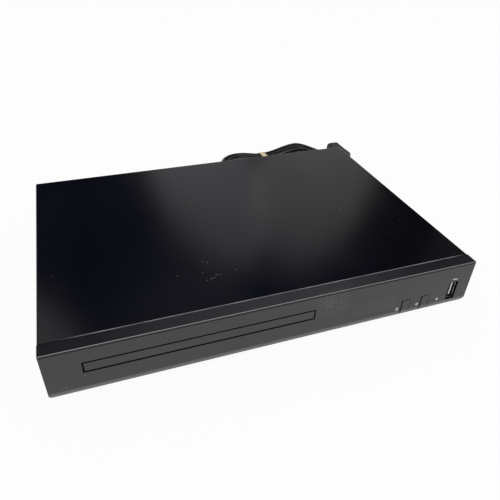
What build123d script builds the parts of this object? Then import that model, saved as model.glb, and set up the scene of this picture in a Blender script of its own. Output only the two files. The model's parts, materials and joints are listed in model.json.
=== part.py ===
from build123d import *
import math
import os

# A compact disc player with a loading tray, in millimetres.
# The origin is on the table under the middle of the player. The front faces -Y, +Z is up.

os.makedirs("parts", exist_ok=True)

# Casing
width = 270.0
body_depth = 191.0
height = 38.0
foot_height = 5.0
socket_reach = 8.0
sheet = 0.8
bend = 1.2
flange_height = 9.0
lip_height = 8.0
fit_gap = 0.3
thin_gap = 0.1

half = width / 2
front = -(body_depth + socket_reach) / 2
rear = front + body_depth
floor = foot_height + sheet
ceiling = height - sheet

# Front panel
strip_depth = 8.7
strip_step = 0.2
seam_gap = 0.2
face_wall = 2.4
panel_wall = 1.8
bevel_height = 3.0
bevel_depth = 1.2
panel_corner = 2.0
groove_width = 0.5
groove_depth = 0.45
groove_drop = 0.9
hook_length = 6.0
hook_width = 14.0
hook_thickness = 1.6

seam = front + strip_depth
panel_top = height - strip_step

# Tray opening and door
tray_inset = 87.4
door_z = 23.45
opening_width = 135.1
opening_height = 7.4
opening_corner = 1.2
door_gap = 0.5
door_thickness = 2.6

tray_x = -half + tray_inset

# Buttons, light, window and socket in the front panel, with insets from the right side
button_insets = [48.4, 33.6]
button_names = ["eject_button", "play_button"]
button_width = 6.0
button_top = 17.4
button_gap = 0.4
button_travel = 0.5
button_stem_width = 3.0
button_stem_z = 13.2
light_inset = 23.5
light_z = 11.9
light_radius = 1.0
window_from_tray = 25.55
window_from_button = 5.1
window_z = 18.7
window_height = 13.0
window_gap = 0.12
window_thickness = 2.0
usb_inset = 13.0
usb_z = 16.7
usb_cut_width = 7.0
usb_cut_height = 14.6
usb_shell_width = 5.7
usb_shell_height = 13.1
usb_shell_wall = 0.3
usb_shell_depth = 15.0
usb_recess = 1.2
usb_tongue_thickness = 1.84
usb_tongue_height = 11.1
usb_tongue_recess = 1.4

button_xs = [half - inset for inset in button_insets]
button_wall = face_wall - button_travel - fit_gap
light_x = half - light_inset
usb_x = half - usb_inset
window_left = tray_x + opening_width / 2 + window_from_tray
window_right = button_xs[0] - button_width / 2 - window_from_button
window_x = (window_left + window_right) / 2
window_width = window_right - window_left

# Disc tray
disc_reach = 67.0
gear_reach = 26.5
recess_radius = 61.0
small_disc_radius = 41.0
small_disc_step = 0.4
door_margin = 0.5
tray_height = 6.0
tray_floor = 1.2
tray_under = 2.2
tray_skirt = 1.8
tray_rear_rim = 9.5
tray_arm_spare = 7.0
tray_arm_width = 12.0
tray_travel = 124.0
spindle_hole_radius = 17.0
pickup_slot_half = 15.0
pickup_slot_length = 66.5
notch_radius = 13.0

disc_y = front + disc_reach
gear_y = front + gear_reach
tray_half = opening_width / 2 - door_gap - door_margin / 2
tray_low = door_z - tray_height / 2
tray_high = tray_low + tray_height
tray_ceiling = tray_low + tray_under
disc_floor = tray_ceiling + tray_floor
tray_front = front + door_thickness
tray_rear = disc_y + recess_radius + tray_rear_rim
arm_rear = gear_y + tray_travel + tray_arm_spare

# Loader frame
glide = 0.2
side_clearance = 0.4
frame_wall = 2.2
frame_front = seam + 0.4
frame_behind_hinge = 14.6
spindle_reach = 82.5
frame_top = 28.4
ledge_width = 3.2
ledge_thickness = 1.6
tab_length = 12.0
tab_width = 2.2
frame_foot = 1.6
frame_foot_width = 7.5
bed_top = 11.8
bed_thickness = 1.4
front_wall_top = 18.6
beam_start = 1.0

hinge_y = disc_y + spindle_reach
frame_rear = hinge_y + frame_behind_hinge
frame_inner = tray_half + side_clearance
frame_outer = frame_inner + frame_wall

# Gear train
gear_module = 1.0
addendum = 0.9
dedendum = 1.25
tooth_share = 0.40
running = 0.05
pinion_teeth = 14
wheel_teeth = 26
small_teeth = 10
rack_inset = 7.2
wheel_low = 12.2
wheel_thickness = 3.0
drive_hub_radius = 3.6
drive_pinion_low = 19.6
gear_top = 22.3
pin_radius = 1.5
pulley_low = 16.0
pulley_thickness = 2.8
pulley_radius = 13.0
belt_big_radius = 12.0
belt_small_radius = 3.0
belt_half = 0.6
motor_pulley_radius = 4.2
belt_reach = 31.6
motor_radius = 12.0
motor_height = 8.3
motor_shaft_radius = 1.0
cup_wall = 1.4

rack_pitch_x = tray_x + tray_half - rack_inset
drive_x = rack_pitch_x - gear_module * pinion_teeth / 2
pulley_x = drive_x - gear_module * (wheel_teeth + small_teeth) / 2
motor_x = pulley_x - belt_reach
belt_z = pulley_low + pulley_thickness / 2
motor_low = floor + 0.4
motor_high = motor_low + motor_height

# Lift frame, cam slider and deck
hinge_z = 16.5
lift_drop = 8.3324
trunnion_radius = 2.0
trunnion_length = 7.0
lift_half = 42.0
lift_ahead = 19.5
lift_back = 3.0
lift_bar = 7.0
lift_thickness = 3.0
cam_travel = 14.0
cam_thickness = 1.6
cam_play = 0.25
cam_pin_radius = 1.6
cam_pin_x = 24.0
cam_pin_rise = 1.0
cam_low = 6.8
cam_high = 20.0
cam_clear = 3.4
comb_teeth = 4
comb_depth = 1.8
deck_low = 3.2
deck_sheet = 1.0
spindle_base_radius = 13.0
seat_height = 9.3
seat_radius = 13.5
seat_thickness = 2.0
bell_radius = 12.2
bell_low = 4.8
hub_radius = 7.4
hub_height = 2.5
spindle_radius = 1.0
rod_x = 20.0
rod_z = 1.0
rod_radius = 1.5
sled_half = 16.0
sled_low = -2.0
sled_high = 6.0
lens_start = 24.0
pickup_travel = 34.0
sled_ahead = 9.0
follower_start = 3.0
follower_length = 5.0
lens_radius = 3.0
lens_top = 8.3
screw_x = 29.0
screw_radius = 1.5
feed_motor_radius = 4.8

lift_front = -(spindle_reach + lift_ahead)
pin_reach = cam_thickness / 2 + cam_clear - lift_front
lift = math.asin(lift_drop / pin_reach)
deck = Plane(origin=(tray_x, hinge_y, hinge_z), x_dir=(1, 0, 0), z_dir=(0, -math.sin(lift), math.cos(lift)))

# Disc clamp
bridge_low = 30.2
bridge_thickness = 0.8
bridge_half = 13.0
bridge_foot = 3.4
puck_low = 27.0
puck_radius = 14.6
puck_flange_radius = 18.0
puck_flange = 1.3
puck_play = 0.6

# Boards
board_thickness = 1.6
main_board_low = 9.5
power_board_low = 9.5
board_gap = 3.0
spacer_radius = 3.0
power_depth = 13.8
power_spacer_radius = 2.5
front_board_gap = 23.7

front_board_low = usb_z - usb_shell_height / 2 - board_thickness
main_left = tray_x + frame_outer + frame_foot_width + board_gap
main_top = main_board_low + board_thickness

# Rear sockets
audio_insets = [51.0, 37.0, 23.0]
audio_drop = 8.0
audio_radius = 4.15
audio_bore = 3.3
audio_pin_bore = 1.6
hdmi_inset = 8.2
hdmi_width = 15.0
hdmi_height = 5.6

audio_xs = [half - inset for inset in audio_insets]
audio_z = height - lip_height - audio_drop
hdmi_x = main_left + hdmi_inset
hdmi_z = main_top + hdmi_height / 2

# Mains lead
cord_radius = 2.2
cord_gap = 0.6
cord_pitch = 5.2
gland_inset = 23.0
gland_z = 13.0
gland_length = 23.0
gland_radius = 5.4
gland_tip_radius = 3.3
tie_sheet = 0.6
tie_width = 5.0
plug_x = 148.6
plug_front = front + 201.6
plug_length = 24.5
plug_height = 26.0
plug_thickness = 13.0

gland_x = -half + gland_inset


def finish(builder, name):
    """Label a finished piece and write it to its own file."""
    builder.part.label = name
    export_step(builder.part, f"parts/{name}.step")


def upright(y):
    """A plane across the player: local x is X, local y is Z, and extrusions run to the front."""
    return Plane(origin=(0, y, 0), x_dir=(1, 0, 0), z_dir=(0, -1, 0))


def block(x, y, z, mode=Mode.ADD):
    """A straight-sided volume between pairs of coordinates, in the open part."""
    with Locations(((x[0] + x[1]) / 2, (y[0] + y[1]) / 2, (z[0] + z[1]) / 2)):
        Box(x[1] - x[0], y[1] - y[0], z[1] - z[0], mode=mode)


def post(x, y, radius, z, mode=Mode.ADD):
    """An upright cylinder between two heights, in the open part."""
    with Locations((x, y, (z[0] + z[1]) / 2)):
        Cylinder(radius, z[1] - z[0], mode=mode)


def deck_block(x, y, z, mode=Mode.ADD):
    """As block, in the tilted frame of the deck."""
    with BuildSketch(deck.offset(z[0])) as profile:
        with Locations(((x[0] + x[1]) / 2, (y[0] + y[1]) / 2)):
            Rectangle(x[1] - x[0], y[1] - y[0])
    extrude(profile.sketch, amount=z[1] - z[0], mode=mode)


def deck_post(x, y, radius, z, mode=Mode.ADD):
    """As post, in the tilted frame of the deck."""
    with BuildSketch(deck.offset(z[0])) as profile:
        with Locations((x, y)):
            Circle(radius)
    extrude(profile.sketch, amount=z[1] - z[0], mode=mode)


def deck_bar(x, z, radius, y, mode=Mode.ADD):
    """A round bar along the deck, from front to rear."""
    start = deck.from_local_coords((x, y[0], z))
    with BuildSketch(Plane(origin=start, x_dir=deck.x_dir, z_dir=deck.y_dir)) as profile:
        Circle(radius)
    extrude(profile.sketch, amount=y[1] - y[0], mode=mode)


def tooth_points(teeth, turn):
    """Corners of a spur gear's outline, with one tooth centred on the angle turn."""
    pitch_radius = gear_module * teeth / 2
    tip = pitch_radius + addendum
    root = pitch_radius - dedendum
    step = 2 * math.pi / teeth
    at_pitch = tooth_share * step / 2
    at_tip = 0.5 * at_pitch
    at_root = 0.5 * step - 0.55 * at_pitch
    corners = []
    for tooth in range(teeth):
        middle = math.radians(turn) + tooth * step
        profile = [(root, -at_root), (pitch_radius, -at_pitch), (tip, -at_tip)]
        profile += [(tip, at_tip), (pitch_radius, at_pitch), (root, at_root)]
        for radius, angle in profile:
            corners.append((radius * math.cos(middle + angle), radius * math.sin(middle + angle)))
    return corners


def gear(x, y, teeth, turn, z):
    """A spur gear between two heights, in the open part."""
    with BuildSketch(Plane.XY.offset(z[0])) as profile:
        with BuildLine():
            Polyline(*[(x + a, y + b) for a, b in tooth_points(teeth, turn)], close=True)
        make_face()
    extrude(profile.sketch, amount=z[1] - z[0])


# Bottom pan: a pressed steel floor with side flanges and rows of vents
pan_half = half - sheet - fit_gap
pan_front = seam + seam_gap
pan_rear = rear - sheet - thin_gap
side_screw_ys = [pan_front + 22.0, pan_rear - 24.0]
side_screw_z = foot_height + 5.2
screw_shank = 1.4
foot_xs = [-half + 22.0, half - 22.0]
foot_ys = [front + 24.0, rear - 22.0]
foot_stem = 2.0
with BuildPart() as bottom_pan:
    block((-pan_half, pan_half), (pan_front, pan_rear), (foot_height, foot_height + flange_height))
    fillet(bottom_pan.edges().filter_by(Axis.Y).group_by(Axis.Z)[0], bend)
    block((-pan_half + sheet, pan_half - sheet), (pan_front, pan_rear), (floor, height), Mode.SUBTRACT)
    with BuildSketch(Plane.XY.offset(foot_height)):
        with Locations((half - 66.0, rear - 66.0)):
            with GridLocations(9.0, 24.0, 9, 3):
                SlotOverall(18.0, 2.4, rotation=90)
        with Locations((-half + 76.5, rear - 17.0)):
            with GridLocations(9.0, 24.0, 8, 1):
                SlotOverall(14.0, 2.4, rotation=90)
    extrude(amount=sheet, mode=Mode.SUBTRACT)
    for x in foot_xs:
        for y in foot_ys:
            post(x, y, foot_stem + thin_gap, (foot_height, floor), Mode.SUBTRACT)
    for y in side_screw_ys:
        with BuildSketch(Plane.YZ.offset(-half)):
            with Locations((y, side_screw_z)):
                Circle(screw_shank + thin_gap)
        extrude(amount=width, mode=Mode.SUBTRACT)
finish(bottom_pan, "bottom_pan")

# Top cover: bent steel over the top and both sides, with a lip down the rear
cover_front = seam + seam_gap
head_radius = 2.6
head_depth = 1.0
with BuildPart() as top_cover:
    block((-half, half), (cover_front, rear), (foot_height, height))
    fillet(top_cover.edges().filter_by(Axis.Y).group_by(Axis.Z)[-1], bend)
    fillet(top_cover.edges().filter_by(Axis.X).group_by(Axis.Z)[-1].sort_by(Axis.Y)[-1], bend)
    block((-half + sheet, half - sheet), (front, rear - sheet), (0, ceiling), Mode.SUBTRACT)
    block((-half + sheet, half - sheet), (rear - sheet, rear + 1), (0, height - lip_height), Mode.SUBTRACT)
    with BuildSketch(Plane.YZ.offset(-half)):
        with Locations((rear - 62.0, height / 2 + 4.0)):
            with GridLocations(5.2, 14.0, 14, 1):
                SlotOverall(15.0, 2.2, rotation=90)
    extrude(amount=width, mode=Mode.SUBTRACT)
    for side in (-1, 1):
        for y in side_screw_ys:
            outer = Plane(origin=(side * half, y, side_screw_z), z_dir=(-side, 0, 0))
            with BuildSketch(outer):
                Circle(head_radius + running)
            with BuildSketch(outer.offset(head_depth)):
                Circle(screw_shank + running)
            loft(mode=Mode.SUBTRACT)
finish(top_cover, "top_cover")

# Rear panel: steel plate with socket holes, vents and a bottom flange on the pan
panel_rear = rear - sheet - thin_gap
panel_front = panel_rear - sheet
rear_half = half - sheet - fit_gap - sheet - thin_gap
rear_screw_xs = [-half + 14.0, 0.0, half - 14.0]
rear_screw_z = height - lip_height / 2 - 0.4
with BuildPart() as rear_panel:
    block((-rear_half, rear_half), (panel_front, panel_rear), (floor, ceiling - thin_gap))
    block((-rear_half, rear_half), (panel_front - flange_height, panel_front), (floor, floor + sheet))
    with BuildSketch(upright(panel_rear)):
        with Locations((hdmi_x, hdmi_z)):
            RectangleRounded(hdmi_width + 1.2, hdmi_height + 1.2, 0.6)
        with Locations(*[(x, audio_z) for x in audio_xs]):
            Circle(audio_radius + fit_gap)
        with Locations((gland_x, gland_z)):
            Circle(gland_radius - 1.0)
        with Locations((gland_x + 50.0, 19.0)):
            with GridLocations(5.0, 14.0, 12, 1):
                SlotOverall(14.0, 2.2, rotation=90)
    extrude(amount=sheet, mode=Mode.SUBTRACT)
finish(rear_panel, "rear_panel")

# Cover screws: four flush at the sides, three domed through the rear lip
with BuildPart() as cover_screws:
    for side in (-1, 1):
        for y in side_screw_ys:
            outer = Plane(origin=(side * half, y, side_screw_z), z_dir=(-side, 0, 0))
            with BuildSketch(outer):
                Circle(head_radius)
            with BuildSketch(outer.offset(head_depth)):
                Circle(screw_shank)
            loft()
            with BuildSketch(outer.offset(head_depth)):
                Circle(screw_shank)
            extrude(amount=4.0)
    for x in rear_screw_xs:
        with BuildSketch(upright(rear + 1.6)):
            with Locations((x, rear_screw_z)):
                Circle(head_radius)
        extrude(amount=1.6)
finish(cover_screws, "cover_screws")

# Feet: turned rubber pads with a stem through the pan
foot_radius = 8.0
foot_taper = 1.0
stem_rise = 1.4
with BuildPart() as feet:
    for x in foot_xs:
        for y in foot_ys:
            with BuildSketch(Plane(origin=(x, y, 0), x_dir=(1, 0, 0), z_dir=(0, -1, 0))):
                with BuildLine():
                    Polyline(
                        (0, 0), (foot_radius - foot_taper, 0), (foot_radius, foot_height),
                        (foot_stem, foot_height), (foot_stem, floor + 0.1), (foot_stem + 0.5, floor + 0.4),
                        (foot_stem, floor + stem_rise), (0, floor + stem_rise), close=True)
                make_face()
            revolve(axis=Axis((x, y, 0), (0, 0, 1)))
finish(feet, "feet")

# Front panel: moulded shell, hollow behind the face
hook_xs = [-half + 30.0, 0.0, half - 30.0]
with BuildPart() as front_panel:
    with BuildSketch(Plane.YZ.offset(-half)):
        with BuildLine():
            Polyline(
                (seam, foot_height), (front + bevel_depth, foot_height), (front, foot_height + bevel_height),
                (front, panel_top), (seam, panel_top), close=True)
        make_face()
    extrude(amount=width)
    fillet(front_panel.edges().filter_by(Axis.Y).group_by(Axis.Z)[0], panel_corner)
    fillet(front_panel.edges().filter_by(Axis.X).group_by(Axis.Z)[-1].sort_by(Axis.Y)[0], groove_width)
    block((-half + panel_wall, half - panel_wall), (front + face_wall, seam),
          (foot_height + panel_wall, panel_top - panel_wall), Mode.SUBTRACT)
    block((-half, half), (front, front + groove_depth),
          (panel_top - groove_drop - groove_width, panel_top - groove_drop), Mode.SUBTRACT)
    with BuildSketch(upright(front + face_wall)):
        with Locations((tray_x, door_z)):
            RectangleRounded(opening_width, opening_height, opening_corner)
        with Locations((window_x, window_z)):
            RectangleRounded(window_width, window_height, opening_corner)
        with Locations((usb_x, usb_z)):
            Rectangle(usb_cut_width, usb_cut_height)
        with Locations((light_x, light_z)):
            Circle(light_radius + thin_gap)
        for x in button_xs:
            with Locations((x, (foot_height + button_top + button_gap) / 2)):
                Rectangle(button_width + 2 * button_gap, button_top + button_gap - foot_height)
    extrude(amount=face_wall, mode=Mode.SUBTRACT)
    for x in hook_xs:
        block((x - hook_width / 2, x + hook_width / 2), (seam - 2.0, seam + hook_length),
              (floor, floor + hook_thickness))
        block((x - hook_width / 2, x + hook_width / 2), (seam - 2.0, seam + hook_length),
              (ceiling - thin_gap - hook_thickness, ceiling - thin_gap))
finish(front_panel, "front_panel")

# Window of the infrared receiver, flush in the face
with BuildPart() as display_window:
    with BuildSketch(upright(front + window_thickness)):
        with Locations((window_x, window_z)):
            RectangleRounded(window_width - 2 * window_gap, window_height - 2 * window_gap,
                             opening_corner - window_gap)
    extrude(amount=window_thickness)
finish(display_window, "display_window")

# Tray door with two clips on the tray's front edge
with BuildPart() as tray_door:
    with BuildSketch(upright(tray_front)):
        with Locations((tray_x, door_z)):
            RectangleRounded(opening_width - 2 * door_gap, opening_height - 2 * door_gap,
                             opening_corner - 0.4)
    extrude(amount=door_thickness)
    fillet(tray_door.faces().sort_by(Axis.Y)[0].edges(), 0.3)
finish(tray_door, "tray_door")

# Push buttons: a face that follows the bevel, and a stem to the switch
stem_rear = front + 13.0
for x, name in zip(button_xs, button_names):
    with BuildPart() as button:
        with BuildSketch(Plane.YZ.offset(x - button_width / 2)):
            with BuildLine():
                Polyline(
                    (front + button_wall, foot_height), (front + bevel_depth, foot_height),
                    (front, foot_height + bevel_height), (front, button_top),
                    (front + button_wall, button_top), close=True)
            make_face()
        extrude(amount=button_width)
        fillet(button.edges().filter_by(Axis.X).group_by(Axis.Z)[-1].sort_by(Axis.Y)[0], 0.5)
        block((x - button_stem_width / 2, x + button_stem_width / 2), (front + button_wall, stem_rear),
              (button_stem_z - 1.5, button_stem_z + 1.5))
    finish(button, name)

# Status light: a clear pin flush with the face
with BuildPart() as status_lens:
    with BuildSketch(upright(front + 6.0)):
        with Locations((light_x, light_z)):
            Circle(light_radius)
    extrude(amount=6.0)
finish(status_lens, "status_lens")

# Front board with its switches, infrared receiver and light source
front_board_left = tray_x + frame_outer + front_board_gap
front_board_right = half - 5.0
front_board_top = front_board_low + board_thickness
front_board_rear = front + 30.0
front_board_front = front + 7.5
board_posts = [(x, front_board_rear - 5.0) for x in (front_board_left + 5.0, front_board_right - 5.0)]
with BuildPart() as front_board:
    block((front_board_left, front_board_right), (front_board_front, front_board_rear),
          (front_board_low, front_board_top))
finish(front_board, "front_board")

switch_body = 6.0
switch_depth = 3.6
plunger = 1.6
switch_front = stem_rear + button_travel + thin_gap + plunger
with BuildPart() as tact_switches:
    for x in button_xs:
        block((x - switch_body / 2, x + switch_body / 2), (switch_front, switch_front + switch_depth),
              (front_board_top, front_board_top + switch_body))
        with BuildSketch(upright(switch_front)):
            with Locations((x, button_stem_z)):
                Circle(1.7)
        extrude(amount=plunger)
finish(tact_switches, "tact_switches")

with BuildPart() as ir_receiver:
    block((window_x - 3.0, window_x + 3.0), (front + 9.0, front + 13.0),
          (front_board_top, front_board_top + 8.5))
    with Locations((window_x, front + 9.0, front_board_top + 5.5)):
        Sphere(2.4)
finish(ir_receiver, "ir_receiver")

with BuildPart() as status_led:
    with BuildSketch(upright(front + 9.6)):
        with Locations((light_x, light_z)):
            Circle(1.5)
    extrude(amount=3.0)
    block((light_x - 1.5, light_x + 1.5), (front + 8.6, front + 9.6), (front_board_top, light_z))
finish(status_led, "status_led")

# USB socket, standing on edge behind its cut-out
usb_front = front + usb_recess
with BuildPart() as usb_socket:
    with BuildSketch(upright(usb_front + usb_shell_depth)):
        with Locations((usb_x, usb_z)):
            RectangleRounded(usb_shell_width, usb_shell_height, 0.5)
    extrude(amount=usb_shell_depth)
    with BuildSketch(upright(usb_front + usb_shell_depth - 1.0)):
        with Locations((usb_x, usb_z)):
            RectangleRounded(usb_shell_width - 2 * usb_shell_wall, usb_shell_height - 2 * usb_shell_wall,
                             0.25)
    extrude(amount=usb_shell_depth, mode=Mode.SUBTRACT)
finish(usb_socket, "usb_socket")

tongue_front = usb_front + usb_tongue_recess
with BuildPart() as usb_tongue:
    with BuildSketch(upright(usb_front + usb_shell_depth - 1.0)):
        with Locations((usb_x + 0.9, usb_z)):
            Rectangle(usb_tongue_thickness, usb_tongue_height)
    extrude(amount=usb_front + usb_shell_depth - 1.0 - tongue_front)
    block((usb_x - 2.3, usb_x + 2.3), (usb_front + usb_shell_depth - 3.5, usb_front + usb_shell_depth - 1.0),
          (usb_z - 6.0, usb_z + 6.0))
finish(usb_tongue, "usb_tongue")

# Disc tray: a shallow moulding with a disc recess, side skirts, rear arms and a rack under its right edge
rack_root = rack_pitch_x + dedendum
rack_tip = rack_pitch_x - addendum
rack_back = tray_x + tray_half - tray_skirt
rack_pitch = math.pi * gear_module
rack_start = gear_y - 3 * rack_pitch
rack_teeth = int((arm_rear - 1.0 - rack_start) / rack_pitch)
with BuildPart() as disc_tray:
    block((tray_x - tray_half, tray_x + tray_half), (tray_front, tray_rear), (tray_low, tray_high))
    for side in (-1, 1):
        inner = tray_x + side * (tray_half - tray_arm_width)
        outer_edge = tray_x + side * tray_half
        block((min(inner, outer_edge), max(inner, outer_edge)), (tray_rear - 1.0, arm_rear),
              (tray_low, tray_high))
    # Underside: skirts stay at the front and both sides
    block((tray_x - tray_half + tray_skirt, tray_x + tray_half - tray_skirt),
          (tray_front + tray_skirt, arm_rear), (tray_low, tray_ceiling), Mode.SUBTRACT)
    with BuildSketch(Plane.XY.offset(tray_high)):
        with Locations((tray_x, disc_y)):
            Circle(recess_radius)
    extrude(amount=disc_floor - tray_high, mode=Mode.SUBTRACT)
    with BuildSketch(Plane.XY.offset(disc_floor)):
        with Locations((tray_x, disc_y)):
            Circle(small_disc_radius)
    extrude(amount=-small_disc_step, mode=Mode.SUBTRACT)
    # Opening for the turntable and the pickup
    with BuildSketch(Plane.XY.offset(tray_low)):
        with Locations((tray_x, disc_y)):
            Circle(spindle_hole_radius)
        with Locations((tray_x, disc_y + pickup_slot_length / 2)):
            Rectangle(2 * pickup_slot_half, pickup_slot_length)
    extrude(amount=tray_height, mode=Mode.SUBTRACT)
    # Finger notches beside the disc
    with BuildSketch(Plane.XY.offset(tray_high)):
        with Locations((tray_x, disc_y - recess_radius), (tray_x - recess_radius + 4.0, disc_y + 30.0),
                       (tray_x + recess_radius - 4.0, disc_y + 30.0)):
            Circle(notch_radius)
    extrude(amount=disc_floor - tray_high, mode=Mode.SUBTRACT)
    block((tray_x - tray_half, tray_x + tray_half), (tray_front - 1.0, tray_front + tray_skirt),
          (disc_floor, tray_high))
    block((tray_x - tray_half, tray_x + tray_half), (tray_front - 1.0, tray_front),
          (tray_low, tray_high), Mode.SUBTRACT)
    for side in (-1, 1):
        edge = tray_x + side * tray_half
        block((min(edge, edge - side * tray_skirt), max(edge, edge - side * tray_skirt)),
              (tray_front, arm_rear), (tray_low, tray_high))
    # Rack
    with BuildSketch(Plane.XY.offset(tray_low)):
        with BuildLine():
            comb = [(rack_back, rack_start - rack_pitch / 2)]
            for tooth in range(rack_teeth):
                middle = rack_start + tooth * rack_pitch
                comb += [
                    (rack_root, middle - 0.5 * rack_pitch + 0.28),
                    (rack_tip, middle - 0.1 * rack_pitch),
                    (rack_tip, middle + 0.1 * rack_pitch),
                    (rack_root, middle + 0.5 * rack_pitch - 0.28),
                ]
            comb += [(rack_back, rack_start + (rack_teeth - 0.5) * rack_pitch)]
            Polyline(*comb, close=True)
        make_face()
    extrude(amount=tray_under)
finish(disc_tray, "disc_tray")

# Loader frame: walls with ledges and hold-down tabs, gear bed, motor cup, hinge brackets
left_wall = (tray_x - frame_outer, tray_x - frame_inner)
right_wall = (tray_x + frame_inner, tray_x + frame_outer)
loader_foot_ys = [frame_front + 26.0, frame_rear - 16.0]
ledge_top = tray_low - glide
tab_low = tray_high + glide
bed_rear = gear_y + gear_module * wheel_teeth / 2 + addendum + 0.2
cam_mid = hinge_y - pin_reach
cam_front = cam_mid - cam_thickness / 2
cam_rear = cam_mid + cam_thickness / 2
cam_guide_top = 9.0
cross_rear = cam_rear + fit_gap + 1.5
cross_top = cam_low - fit_gap
cup_radius = motor_radius + fit_gap + cup_wall
cup_top = motor_high + 1.2
bracket_inner = lift_half + 1.5
bracket_outer = bracket_inner + 4.5
bracket_radius = 3.1
bracket_rear = hinge_y + 6.6
beam_top = power_board_low - fit_gap
with BuildPart() as loader_frame:
    for wall in (left_wall, right_wall):
        block(wall, (frame_front, frame_rear), (floor + frame_foot, frame_top))
    for side, wall in ((-1, left_wall), (1, right_wall)):
        face = tray_x + side * frame_inner
        ledge = face - side * ledge_width
        block((min(face, ledge), max(face, ledge)), (frame_front, frame_rear),
              (ledge_top - ledge_thickness, ledge_top))
        for y in (frame_front, disc_y - 30.0, disc_y + 30.0, frame_rear - tab_length):
            tab = face - side * tab_width
            block((min(face, tab), max(face, tab)), (y, y + tab_length), (tab_low, tab_low + ledge_thickness))
        out = tray_x + side * frame_outer
        foot_out = out + side * frame_foot_width
        for y in loader_foot_ys:
            block((min(face, foot_out), max(face, foot_out)), (y, y + frame_foot_width),
                  (floor, floor + frame_foot))
    # Gear bed and front wall
    block((tray_x - frame_inner, tray_x + frame_inner), (frame_front, bed_rear),
          (bed_top - bed_thickness, bed_top))
    block((tray_x - frame_inner, tray_x + frame_inner), (frame_front, frame_front + frame_foot),
          (bed_top, front_wall_top))
    # Cross member with the slider's guides
    block((tray_x - frame_inner, tray_x + frame_inner), (bed_rear, cross_rear), (floor, cross_top))
    for x in (left_wall[0], right_wall[0]):
        block((x, x + frame_wall), (bed_rear, cross_rear), (floor, floor + frame_foot))
    block((tray_x - lift_half, tray_x + lift_half), (bed_rear - frame_foot, bed_rear), (floor, bed_top))
    for x in (tray_x - 2.0 * cam_pin_x, tray_x, tray_x + 2.0 * cam_pin_x):
        block((x - 12.0, x + 12.0), (cam_rear + fit_gap, cross_rear), (floor, cam_guide_top))
    # Motor cup
    post(motor_x, gear_y, cup_radius, (bed_top - bed_thickness, cup_top))
    post(motor_x, gear_y, motor_radius + fit_gap, (0, motor_high), Mode.SUBTRACT)
    post(motor_x, gear_y, motor_radius / 2, (0, height), Mode.SUBTRACT)
    # Gear pins
    post(drive_x, gear_y, pin_radius, (bed_top - bed_thickness, gear_top - 0.2))
    post(pulley_x, gear_y, pin_radius, (bed_top - bed_thickness, pulley_low + pulley_thickness - 0.2))
    # Rear beam and hinge brackets
    block((tray_x - frame_inner, tray_x + frame_inner), (hinge_y + beam_start, frame_rear), (floor, beam_top))
    for side in (-1, 1):
        near = tray_x + side * bracket_inner
        far = tray_x + side * bracket_outer
        span = (min(near, far), max(near, far))
        block(span, (hinge_y - bracket_radius, bracket_rear),
              (beam_top - frame_foot, hinge_z + bracket_radius))
        with BuildSketch(Plane.YZ.offset(span[0])):
            with Locations((hinge_y, hinge_z)):
                Circle(trunnion_radius + running)
        extrude(amount=span[1] - span[0], mode=Mode.SUBTRACT)
finish(loader_frame, "loader_frame")

# Loading motor, its pulley on the shaft, the pulley gear and the drive gear
with BuildPart() as loading_motor:
    post(motor_x, gear_y, motor_radius, (motor_low, motor_high))
    fillet(loading_motor.edges().filter_by(GeomType.CIRCLE).group_by(Axis.Z)[0], 0.8)
    post(motor_x, gear_y, 3.0, (motor_high, motor_high + 0.8))
    post(motor_x, gear_y, motor_shaft_radius + running, (motor_low, height), Mode.SUBTRACT)
finish(loading_motor, "loading_motor")


def pulley_profile(x, outer_radius, groove_radius, z):
    """A belt pulley, turned about an upright axis, in the open part."""
    middle = (z[0] + z[1]) / 2
    with BuildSketch(Plane(origin=(x, gear_y, 0), x_dir=(1, 0, 0), z_dir=(0, -1, 0))) as profile:
        with BuildLine():
            Polyline(
                (0, z[0]), (outer_radius, z[0]), (outer_radius, z[0] + 0.3),
                (groove_radius, middle - belt_half - thin_gap),
                (groove_radius, middle + belt_half + thin_gap),
                (outer_radius, z[1] - 0.3), (outer_radius, z[1]), (0, z[1]), close=True)
        make_face()
    revolve(profile.sketch, axis=Axis((x, gear_y, 0), (0, 0, 1)))


with BuildPart() as motor_pulley:
    pulley_profile(motor_x, motor_pulley_radius, belt_small_radius - belt_half - running,
                   (pulley_low, pulley_low + pulley_thickness))
    post(motor_x, gear_y, motor_shaft_radius, (motor_low + 1.0, pulley_low + pulley_thickness + 0.4))
finish(motor_pulley, "motor_pulley")

with BuildPart() as pulley_gear:
    pulley_profile(pulley_x, pulley_radius, belt_big_radius - belt_half - running,
                   (pulley_low, pulley_low + pulley_thickness))
    gear(pulley_x, gear_y, small_teeth, 0, (bed_top + thin_gap, pulley_low))
    post(pulley_x, gear_y, pin_radius + running, (0, height), Mode.SUBTRACT)
finish(pulley_gear, "pulley_gear")

wheel_turn = 180 + 180 / wheel_teeth
with BuildPart() as drive_gear:
    gear(drive_x, gear_y, wheel_teeth, wheel_turn, (wheel_low, wheel_low + wheel_thickness))
    post(drive_x, gear_y, drive_hub_radius, (wheel_low - 0.3, drive_pinion_low))
    gear(drive_x, gear_y, pinion_teeth, 180 / pinion_teeth, (drive_pinion_low, gear_top))
    with BuildSketch(Plane.XY.offset(wheel_low)):
        with Locations((drive_x, gear_y)):
            with PolarLocations(7.6, 5):
                Circle(2.2)
    extrude(amount=wheel_thickness, mode=Mode.SUBTRACT)
    post(drive_x, gear_y, pin_radius + running, (0, height), Mode.SUBTRACT)
finish(drive_gear, "drive_gear")

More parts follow.
